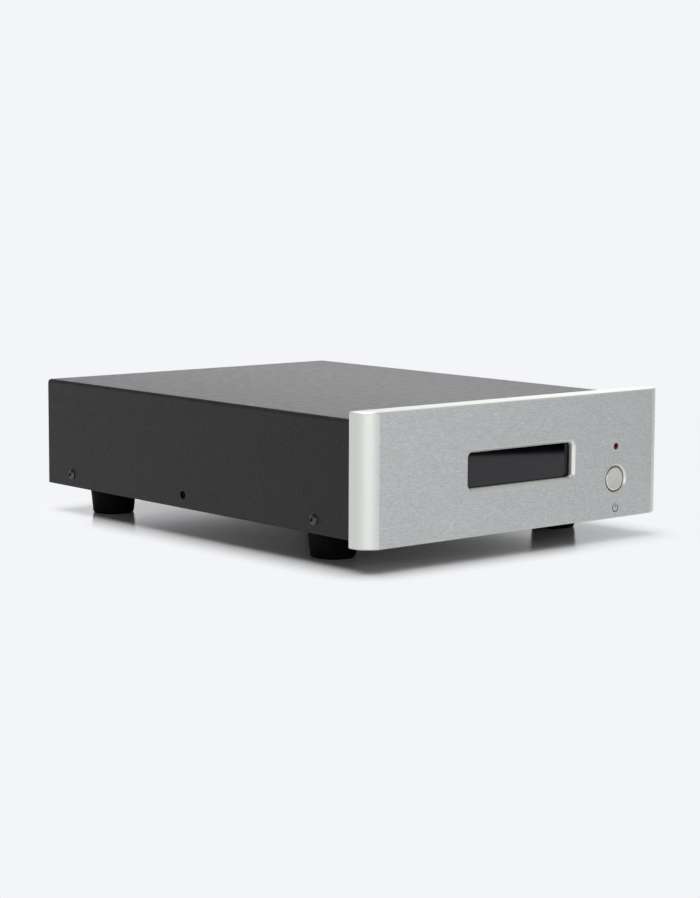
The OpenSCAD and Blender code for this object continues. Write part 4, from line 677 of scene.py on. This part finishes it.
def makeCover(setup):
    low, high = boxMm("top_cover")[:2]
    t, r = setup["sheet"], setup["fold"]
    left, right, top = low.x + t, high.x - t, high.z - t
    corners = [(low.x, low.z, 0), (low.x, high.z, r), (high.x, high.z, r), (high.x, low.z, 0)]
    corners += [(right, low.z, 0), (right, top, r - t), (left, top, r - t), (left, low.z, 0)]
    places = [(x, z, 0) for x, z, bend in corners]
    loop = [(i, (i + 1) % len(corners)) for i in range(len(corners))]
    outline = pointMesh("cover_outline", places, loop, bend=[bend * mm for x, z, bend in corners])
    screwLow, screwHigh, screwMiddle = boxMm("cover_screws")
    head = screwHigh.z - screwLow.z
    spare = {m["name"]: m for m in record["mounts"]}["side_hole_left"]["pos_m"][1] / mm
    along = (screwLow.y + head / 2, screwHigh.y - head / 2, spare)
    drilled = [(0, y, screwMiddle.z) for y in along]
    radii = [setup[k] / 2 * mm for k in ("screwHole", "screwHole", "spareHole")]
    holes = bpy.data.objects.new("cover_holes", pointMesh("cover_holes", drilled, bore=radii))
    piece = grow("folded_cover", foldedSheetTree(), outline, {
        "Depth": (high.y - low.y) * mm, "Rear": high.y * mm, "Bend Steps": setup["bendSteps"],
        "Across": (high.x - low.x + setup["drillPast"]) * mm, "Holes": holes,
        "Finish": finishes["black_powder_coat"],
    })
    bpy.data.objects.remove(holes)
    softenEdges(piece, setup["edge"], setup["crease"])
    stand(piece, "top_cover")


makeCover(cover)
print("cover: folded")

# Tray and rear plate: the same coated sheet, with the width of its softened edges
sheetMetal = {"base_tray": ("tray_sheet", 0.15), "rear_panel": ("rear_plate", 0.15)}
for sheetNode, (pieceName, edge) in sheetMetal.items():
    stand(refined(pieceName, sheetNode, edge), sheetNode)

# Feet: moulded, tapered, with a well for the screw
foot = {
    "lowRadius": 11.4, "round": 1.4, "topRound": 0.4, "wellRadius": 5.5, "wellRound": 0.6,
    "web": 5.0, "webRound": 0.3, "hole": 2.2, "steps": 96,
}


def makeFeet(setup):
    hole, well = setup["hole"], setup["wellRadius"]
    for node in [n for n in nodes if n.startswith("foot_") and n != "foot_screws"]:
        low, high, middle = boxMm(node)
        top = (high.x - low.x) / 2
        ceiling = high.z - setup["web"]
        outline = [
            (hole, high.z, 0), (hole, ceiling, setup["webRound"]), (well, ceiling, setup["webRound"]),
            (well, 0, setup["wellRound"]), (setup["lowRadius"], 0, setup["round"]),
            (top, high.z, setup["topRound"]),
        ]
        standTurned("moulded_" + node, node, outline, (middle.x, middle.y, 0), (0, 0, 1), setup["steps"])


makeFeet(foot)
print("feet: turned")

# Display: the lens behind the window
lens = {"edge": 0.3}
stand(refined("lens_plate", "display_lens", lens["edge"]), "display_lens")

# Power button: cap with a rounded rim and a collar behind the plate
button = {
    "capRadius": 6.3, "rim": 0.65, "collarRadius": 7.7, "collar": 1.1, "collarAt": 2.95, "collarRound": 0.2,
    "stem": 1.75, "dish": 0.12, "dishMiddle": (0.62, 0.6), "flatRim": 1.5, "steps": 96,
}


def makeButton(setup):
    low, high, middle = boxMm("button_cap")
    rimAt, rim, dish, stem = (setup[k] for k in ("capRadius", "rim", "dish", "stem"))
    out, collarAt, soft = (setup[k] for k in ("collarRadius", "collarAt", "collarRound"))
    back = collarAt + setup["collar"]
    length = high.y - low.y
    across, deep = setup["dishMiddle"]  # shares of the radius and of the dish
    outline = [
        (0, dish, 0), (rimAt * across, dish * deep, 0), (rimAt - rim * setup["flatRim"], 0, 0),
        (rimAt, 0, rim), (rimAt, collarAt, 0), (out, collarAt, soft), (out, back, soft),
        (stem, back, 0), (stem, length, 0), (0, length, 0),
    ]
    centre = (middle.x, low.y, middle.z)
    standTurned("turned_button", "button_cap", outline, centre, (0, 1, 0), setup["steps"])


makeButton(button)

# Power lamp: domed 3 mm lamp with a rim and two legs
lamp = {
    "radius": 1.5, "rim": 2.0, "rimThick": 1.0, "rimAt": 3.2, "leg": 0.3, "legSpread": 0.75,
    "domeSteps": 10, "steps": 48, "legSteps": 16,
}


def makeLamp(setup):
    low, high, middle = boxMm("power_lamp")
    r, rim, rimAt, leg = (setup[k] for k in ("radius", "rim", "rimAt", "leg"))
    turns = [math.pi / 2 * k / setup["domeSteps"] for k in range(setup["domeSteps"] + 1)]
    dome = [(r * math.sin(a), r - r * math.cos(a)) for a in turns]
    back = rimAt + setup["rimThick"]
    length = high.y - low.y
    body = dome + [(r, rimAt), (rim, rimAt), (rim, back), (0, back)]
    bm = bmesh.new()
    turned(bm, body, (middle.x, low.y, middle.z), (0, 1, 0), setup["steps"])
    legLine = [(0, back), (leg, back), (leg, length), (0, length)]
    for side in (-1, 1):
        place = (middle.x + side * setup["legSpread"], low.y, middle.z)
        for face in turned(bm, legLine, place, (0, 1, 0), setup["legSteps"]):
            face.material_index = 1
    piece = newPiece("domed_lamp", meshOf(bm, "domed_lamp"), finishes["red_lamp"], finishes["zinc_steel"])
    stand(sharpen(piece), "power_lamp")


makeLamp(lamp)
print("button and lamp: turned")

# Screws: every group is grown from one tree, and the socket's size is across its flats
buttonHead = {
    "head": 5.7, "seat": 5.7, "rim": 0.45, "crown": 1.2, "sunk": 0.0,
    "socket": 2.0, "deep": 1.0, "shank": 3.0, "length": 6.0, "crease": 40.0,
}
largeHead = {
    **buttonHead, "head": 7.6, "seat": 7.6, "rim": 0.6, "crown": 1.6,
    "socket": 2.5, "deep": 1.3, "shank": 4.0, "length": 9.0,
}
boardHead = {
    **buttonHead, "head": 4.4, "seat": 4.4, "rim": 0.4, "crown": 1.1,
    "socket": 1.5, "deep": 0.8, "shank": 2.5, "length": 5.0,
}
flatHead = {**buttonHead, "head": 6.2, "seat": 3.2, "rim": 1.6, "crown": 0.0, "sunk": 1.6, "length": 10.0}
boardLevel = 24  # board screws above this height face up, the others down
screwGroups = {
    "cover_screws": (buttonHead, lambda c: (math.copysign(1, c.x), 0, 0)),
    "rear_screws": (buttonHead, lambda c: (0, 1, 0)),
    "board_screws": (buttonHead, lambda c: (0, 0, 1 if c.z > boardLevel else -1)),
    "panel_screws": (largeHead, lambda c: (0, 1, 0)),
    "foot_screws": (largeHead, lambda c: (0, 0, -1)),
    "front_board_screws": (boardHead, lambda c: (0, 1, 0)),
    "socket_screws": (flatHead, lambda c: (0, 1, 0)),
}


def makeScrews(groups):
    tree = screwTree()
    for node, (size, facing) in groups.items():
        seats, axes = [], []
        for low, high in solidBoxes(node):
            middle = (low + high) / 2
            axis = Vector(facing(middle))
            reach = abs(axis.dot(high - low)) / 2
            seats.append(middle + axis * (size["length"] - reach))
            axes.append(axis)
        sizes = {
            "Seat Radius": size["seat"] / 2, "Head Radius": size["head"] / 2, "Rim": size["rim"],
            "Crown": size["crown"], "Sunk": size["sunk"], "Socket Depth": size["deep"],
            "Socket Radius": size["socket"] / 2 / math.cos(math.pi / 6), "Shank Radius": size["shank"] / 2,
            "Shank Length": size["length"] + size["rim"] / 2 - size["sunk"],
        }
        values = {label: value * mm for label, value in sizes.items()}
        values["Finish"] = finishes[slotOf[node]]
        piece = grow(node + "_heads", tree, pointMesh(node + "_seats", seats, axis=axes), values)
        stand(sharpen(piece, size["crease"]), node)
        print("screws:", node, len(seats))


makeScrews(screwGroups)

# Rear sockets: moulded and plated shells, each with the width of its softened edges
softSockets = {
    "mains_inlet": ("inlet_moulding", 0.3),
    "fuse_drawer": ("drawer_moulding", 0.25),
    "inlet_blades": ("blade_contacts", 0.35),
    "optical_jack": ("optical_housing", 0.2),
    "optical_shutter": ("optical_flap", 0.12),
    "coaxial_nut": ("coaxial_hex_nut", 0.2),
}
for socketNode, (pieceName, edge) in softSockets.items():
    stand(refined(pieceName, socketNode, edge), socketNode)

# Network and USB jacks: plated shells, black inside their mouths
jackMouth = {"spare": 0.2, "lip": 0.5, "deep": 14, "wall": 0.9}
jacks = {
    "network_jack": {**jackMouth, "shell": "network_shell", "mouth": 11.9, "edge": 0.15},
    "usb_jack": {**jackMouth, "shell": "usb_shell", "mouth": 12.4, "edge": 0.12},
}


def makeJack(node, setup):
    low, high, middle = boxMm(node)
    half = setup["mouth"] / 2 + setup["spare"]
    shell = refined(setup["shell"], node, setup["edge"], finishes[slotOf[node]], finishes["black_plastic"])

    def inside(at, normal):
        within = high.y - setup["deep"] < at.y < high.y - setup["lip"]
        between = low.z + setup["wall"] < at.z < high.z - setup["wall"]
        return 1 if within and between and abs(at.x - middle.x) < half else 0

    paint(shell, inside)
    stand(shell, node)


for jackNode, jackSetup in jacks.items():
    makeJack(jackNode, jackSetup)

# Balanced socket: black shell with three plated pins
balanced = {"edge": 0.25, "pinCircle": 4.8, "pinRadius": 1.26, "pinTurns": (90, 210, 330)}


def makeBalancedSocket(setup):
    middle = boxMm("balanced_socket")[2]
    finishesOn = (finishes["black_plastic"], finishes["nickel_plate"])
    piece = refined("balanced_shell", "balanced_socket", setup["edge"], *finishesOn, flat=0)
    turns = [math.radians(a) for a in setup["pinTurns"]]
    reach = setup["pinCircle"]
    axes = [(middle.x + reach * math.cos(a), middle.z + reach * math.sin(a)) for a in turns]

    def pins(at, normal):
        return 1 if min(math.hypot(at.x - x, at.z - z) for x, z in axes) < setup["pinRadius"] else 0

    paint(piece, pins)
    stand(piece, "balanced_socket")


makeBalancedSocket(balanced)

# Coaxial jack: gold barrel with a thread and a collar, and a white core inside
coaxial = {
    "barrel": 4.15, "bore": 3.15, "thread": 4.6, "collar": 6.0, "collarThick": 2, "tail": 3.0,
    "core": 3.1, "hole": 1.6, "holeDeep": 8.0, "steps": 64,
}


def makeCoaxial(setup):
    low, high, middle = boxMm("coaxial_jack")
    wall, coreEnd = (corner.y for corner in boxMm("coaxial_insulator")[:2])
    nutEnd = boxMm("coaxial_nut")[1].y
    back = wall - setup["collarThick"]
    floor = coreEnd - setup["holeDeep"]
    tail, collar, thread, barrel, bore = (setup[k] for k in ("tail", "collar", "thread", "barrel", "bore"))
    core, hole = setup["core"], setup["hole"]
    place = ((middle.x, 0, middle.z), (0, 1, 0), setup["steps"])
    standTurned("coaxial_barrel", "coaxial_jack", [
        (0, low.y, 0), (tail, low.y, 0.3), (tail, back, 0), (collar, back, 0.3), (collar, wall, 0.2),
        (thread, wall, 0), (thread, nutEnd, 0.25), (barrel, nutEnd, 0), (barrel, high.y, 0.45),
        (bore, high.y, 0.3), (bore, wall, 0), (0, wall, 0),
    ], *place)
    standTurned("coaxial_core", "coaxial_insulator", [
        (0, wall, 0), (core, wall, 0), (core, coreEnd, 0.25), (hole, coreEnd, 0.3),
        (hole, floor, 0), (0, floor, 0),
    ], *place)


makeCoaxial(coaxial)

# Gold spring contacts under the ceiling of the network jack and on the tongues of the USB jack
contactRows = {
    "network_contacts": {
        "jack": "network_jack", "in": 6.5, "rises": (2.75,), "count": 8,
        "pitch": 1.02, "width": 0.5, "length": 10.0, "dip": 1.6, "thickness": 0.25,
    },
    "usb_contacts": {
        "jack": "usb_jack", "in": 6.2, "rises": (-3.55, 4.05), "count": 4,
        "pitch": 2.4, "width": 1.0, "length": 7.0, "dip": 0.12, "thickness": 0.15,
    },
}


def makeContacts(rows):
    tree = contactTree()
    for name, row in rows.items():
        high, middle = boxMm(row["jack"])[1:]
        places = [(middle.x, high.y - row["in"], middle.z + rise) for rise in row["rises"]]
        values = {k.title(): row[k] * mm for k in ("pitch", "width", "length", "dip", "thickness")}
        values.update({"Count": row["count"], "Finish": finishes["gold_plate"]})
        piece = sharpen(grow(name, tree, pointMesh(name + "_rows", places), values))
        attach(piece, "root")


makeContacts(contactRows)
print("sockets: made")

# Fuse in its drawer: glass tube, thin wire and two plated caps
fuse = {
    "glass": 2.4, "wall": 0.5, "inset": 1, "cap": 2.6, "capLength": 5.0, "capRound": 0.3, "wire": 0.12,
    "steps": 40, "wireSteps": 8,
}


def makeFuse(setup):
    low, high, middle = boxMm("fuse")
    length = high.x - low.x
    place = ((low.x, middle.y, middle.z), (1, 0, 0))
    glass, cap, soft, wireRadius = (setup[k] for k in ("glass", "cap", "capRound", "wire"))
    bore = glass - setup["wall"]
    near, far = setup["inset"], length - setup["inset"]
    capEnd, capStart = setup["capLength"], length - setup["capLength"]
    bm = bmesh.new()
    turned(bm, [(bore, near), (glass, near), (glass, far), (bore, far)], *place, setup["steps"])
    plated = []
    for start, end in ((0, capEnd), (capStart, length)):
        outline = rounded([(0, start, 0), (cap, start, soft), (cap, end, soft), (0, end, 0)])
        plated += turned(bm, outline, *place, setup["steps"])
    thread = [(0, capEnd), (wireRadius, capEnd), (wireRadius, capStart), (0, capStart)]
    plated += turned(bm, thread, *place, setup["wireSteps"])
    for face in plated:
        face.material_index = 1
    piece = newPiece("fuse_tube", meshOf(bm, "fuse_tube"), finishes["fuse_glass"], finishes["nickel_plate"])
    stand(sharpen(piece), "fuse")


makeFuse(fuse)

# Printed marks: a plain power sign under the button, plain numbers over the rear sockets
marks = {
    "film": 0.03, "ringRadius": 2.0, "ringSteps": 40, "stroke": 0.52, "gap": 34.0, "below": 15.3,
    "stemFrom": 0.1, "stemTo": 2.5, "numberHeight": 3.4, "numberRise": 3.0, "digitShare": 0.7,
}


def flatMesh(name, curve, place, facing):
    holder = bpy.data.objects.new(name, curve)
    scene.collection.objects.link(holder)
    graph = bpy.context.evaluated_depsgraph_get()
    mesh = bpy.data.meshes.new_from_object(holder.evaluated_get(graph), depsgraph=graph)
    bpy.data.objects.remove(holder)
    mesh.transform(Matrix.Translation(Vector(place) * mm) @ facing.to_4x4())
    return mesh


def makePowerSign(setup):
    cap = boxMm("button_cap")[2]
    face = boxMm("front_panel")[0].y
    spot = (cap.x, face, cap.z - setup["below"])
    curve = bpy.data.curves.new("power_sign", "CURVE")
    curve.dimensions = "3D"
    curve.bevel_depth = setup["stroke"] / 2 * mm
    curve.bevel_resolution = 3
    curve.use_fill_caps = True
    gap = math.radians(setup["gap"])
    steps, r = setup["ringSteps"], setup["ringRadius"]
    sweep = [math.pi / 2 + gap + (math.tau - 2 * gap) * k / steps for k in range(steps + 1)]
    ring = [(r * math.cos(a), r * math.sin(a)) for a in sweep]
    for stroke in (ring, [(0, setup["stemFrom"]), (0, setup["stemTo"])]):
        spline = curve.splines.new("POLY")
        spline.points.add(len(stroke) - 1)
        for point, (x, y) in zip(spline.points, stroke):
            point.co = (x * mm, y * mm, 0, 1)
    facing = Matrix.Rotation(math.pi / 2, 3, "X")
    mesh = flatMesh("power_sign", curve, spot, facing)
    for v in mesh.vertices:  # pressed flat to a film on the face
        v.co.y = face * mm + (v.co.y - face * mm) * setup["film"] / (setup["stroke"] / 2)
    mesh.materials.clear()
    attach(newPiece("power_sign", mesh, darkInk), "root")


def makeNumbers(setup):
    order = ["mains_inlet", "network_jack", "usb_jack", "optical_jack", "coaxial_nut", "balanced_socket"]
    face = boxMm("rear_panel")[1].y
    facing = Matrix.Rotation(math.pi, 3, "Z") @ Matrix.Rotation(math.pi / 2, 3, "X")
    bm = bmesh.new()
    for number, node in enumerate(order, 1):
        high, middle = boxMm(node)[1:]
        curve = bpy.data.curves.new("number", "FONT")
        curve.body = str(number)
        curve.size = setup["numberHeight"] * mm / setup["digitShare"]
        curve.align_x = "CENTER"
        curve.extrude = setup["film"] * mm
        spot = (middle.x, face, high.z + setup["numberRise"])
        mesh = flatMesh("number", curve, spot, facing)
        bm.from_mesh(mesh)
        bpy.data.meshes.remove(mesh)
    mesh = meshOf(bm, "socket_numbers")
    mesh.materials.clear()
    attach(sharpen(newPiece("socket_numbers", mesh, whiteInk)), "root")


makePowerSign(marks)
makeNumbers(marks)
print("marks: printed")

# What stays as the frame gives it: the inner pieces, with their finishes
for nodeName, nodeObject in nodes.items():
    if not nodeObject.hide_render:
        nodeObject.data.materials.clear()
        nodeObject.data.materials.append(finishes[slotOf[nodeName]])

# Studio, in metres: pale floor and surround, soft light from above, pale panels, a dark flag at the right
studio = {
    "background": "#f4f5f8",
    "floor": "#dcdcda",
    "floorRoughness": 0.18,
    "floorGloss": 0.9,
    "floorSize": 12.0,
    "fadeInset": 0.012,  # in from the part's edges, where the floor begins to turn to plain background
    "fadeTo": 0.036,
    "zenith": 0.1,
    "climb": (0.1, 0.6),  # heights between which the surround darkens to its zenith
    "behind": 1.1,  # the surround is brightest behind the part
    "behindWay": (0.647, 0.763, 0.0),
    "behindSpread": (0.5, 0.95),
    "lamps": {
        "overhead_lamp": {"place": (-0.2, 0.1, 1.7), "width": 1.4, "height": 1.4, "radiance": 5.3},
        "front_left_panel": {
            "place": (-1.5, -1.8, 0.55), "width": 2.4, "height": 1.1, "radiance": 1.26, "diffuse": False,
        },
        "upper_right_panel": {"place": (1.05, -0.2, 1.25), "width": 0.9, "height": 0.9, "radiance": 1.0},
        "front_right_panel": {
            "place": (0.75, -1.7, 0.35), "width": 0.45, "height": 0.7, "radiance": 1.3, "diffuse": False,
        },
        "right_side_panel": {
            "place": (0.3, 0.38, 0.2), "aim": (0, 0.38, 0.2), "width": 0.8, "height": 0.12, "radiance": 1.55,
        },
    },
    "aim": (0, 0, 0.05),  # where the other lamps point
    "flag": {
        "near": (-0.102, -0.634), "far": (1.042, -0.015), "low": 0.001, "high": 0.05, "cloth": "#050505",
    },
}


def makeFloor(setup):
    bm = bmesh.new()
    bmesh.ops.create_grid(bm, x_segments=1, y_segments=1, size=setup["floorSize"] / 2)
    material, tree, shader = newMaterial("pale_floor", {
        "Base Color": linear(setup["floor"]), "Roughness": setup["floorRoughness"],
        "Specular IOR Level": setup["floorGloss"],
    })
    place = addNode(tree, "ShaderNodeTexCoord").outputs["Object"]
    apart = addNode(tree, vectorNode, (place,), operation="ABSOLUTE")
    reach = (cadBox[1][0] - setup["fadeInset"], cadBox[1][1] - setup["fadeInset"], 0.0)
    past = addNode(tree, vectorNode, (apart, reach), operation="SUBTRACT")
    outside = addNode(tree, vectorNode, (past, (0.0, 0.0, 0.0)), operation="MAXIMUM")
    away = addNode(tree, vectorNode, (outside,), operation="LENGTH").outputs["Value"]
    fade = {"Value": away, "From Min": 0.0, "From Max": setup["fadeTo"]}
    far = addNode(tree, "ShaderNodeMapRange", fade, interpolation_type="SMOOTHSTEP")
    light = addNode(tree, "ShaderNodeLightPath").outputs
    direct = addNode(tree, mathNode, (light["Is Camera Ray"], light["Is Glossy Ray"]), operation="ADD")
    seen = addNode(tree, mathNode, (direct, light["Is Transmission Ray"]), operation="ADD", use_clamp=True)
    share = addNode(tree, mathNode, (far, seen), operation="MULTIPLY")
    plain = addNode(tree, "ShaderNodeEmission", {"Color": linear(setup["background"])})
    mixed = addNode(tree, "ShaderNodeMixShader", (share, shader, plain))
    wire(tree, tree.nodes["Material Output"], {"Surface": mixed})
    newPiece("floor", meshOf(bm, "floor"), material)


# Dark card that only reflections see
def makeFlag(setup):
    bm = bmesh.new()
    (x0, y0), (x1, y1) = setup["near"], setup["far"]
    low, high = setup["low"], setup["high"]
    corners = [(x0, y0, low), (x1, y1, low), (x1, y1, high), (x0, y0, high)]
    bm.faces.new([bm.verts.new(c) for c in corners])
    cloth = {"Base Color": linear(setup["cloth"]), "Roughness": 0.9, "Specular IOR Level": 0.0}
    flag = newPiece("flag", meshOf(bm, "flag"), newMaterial("flag_cloth", cloth)[0])
    flag.visible_camera = False
    flag.visible_diffuse = False
    flag.visible_shadow = False


def makeWorld(setup):
    world = bpy.data.worlds.new("studio")
    scene.world = world
    world.use_nodes = True
    tree = world.node_tree
    way = addNode(tree, "ShaderNodeTexCoord").outputs["Generated"]
    rise = addNode(tree, "ShaderNodeSeparateXYZ", (way,)).outputs["Z"]
    facing = addNode(tree, vectorNode, (way, setup["behindWay"]), operation="DOT_PRODUCT").outputs["Value"]
    shades = []
    for value, (start, end), last in (
        (rise, setup["climb"], setup["zenith"]), (facing, setup["behindSpread"], setup["behind"]),
    ):
        steps = {"Value": value, "From Min": start, "From Max": end, "To Min": 1.0, "To Max": last}
        shades.append(addNode(tree, "ShaderNodeMapRange", steps, interpolation_type="SMOOTHSTEP"))
    level = addNode(tree, mathNode, shades, operation="MULTIPLY")
    light = addNode(tree, "ShaderNodeLightPath").outputs
    direct = (light["Is Camera Ray"], light["Is Transmission Ray"])
    seen = addNode(tree, mathNode, direct, operation="MAXIMUM")
    strength = addNode(tree, "ShaderNodeMix", {0: seen, 2: level, 3: 1.0}, data_type="FLOAT")
    wire(tree, tree.nodes["Background"], {"Color": linear(setup["background"]), "Strength": strength})


def makeStudioLamp(name, setup, aim):
    data = bpy.data.lights.new(name, "AREA")
    data.shape = "RECTANGLE"
    data.size = setup["width"]
    data.size_y = setup["height"]
    data.energy = setup["radiance"] * math.pi * setup["width"] * setup["height"]
    light = bpy.data.objects.new(name, data)
    scene.collection.objects.link(light)
    light.location = setup["place"]
    target = Vector(setup.get("aim", aim))
    light.rotation_euler = (target - light.location).to_track_quat("-Z", "Y").to_euler()
    light.visible_camera = False
    light.visible_diffuse = setup.get("diffuse", True)


makeFloor(studio)
makeFlag(studio["flag"])
makeWorld(studio)
for lampName, lampSetup in studio["lamps"].items():
    makeStudioLamp(lampName, lampSetup, studio["aim"])
print("studio: lit")
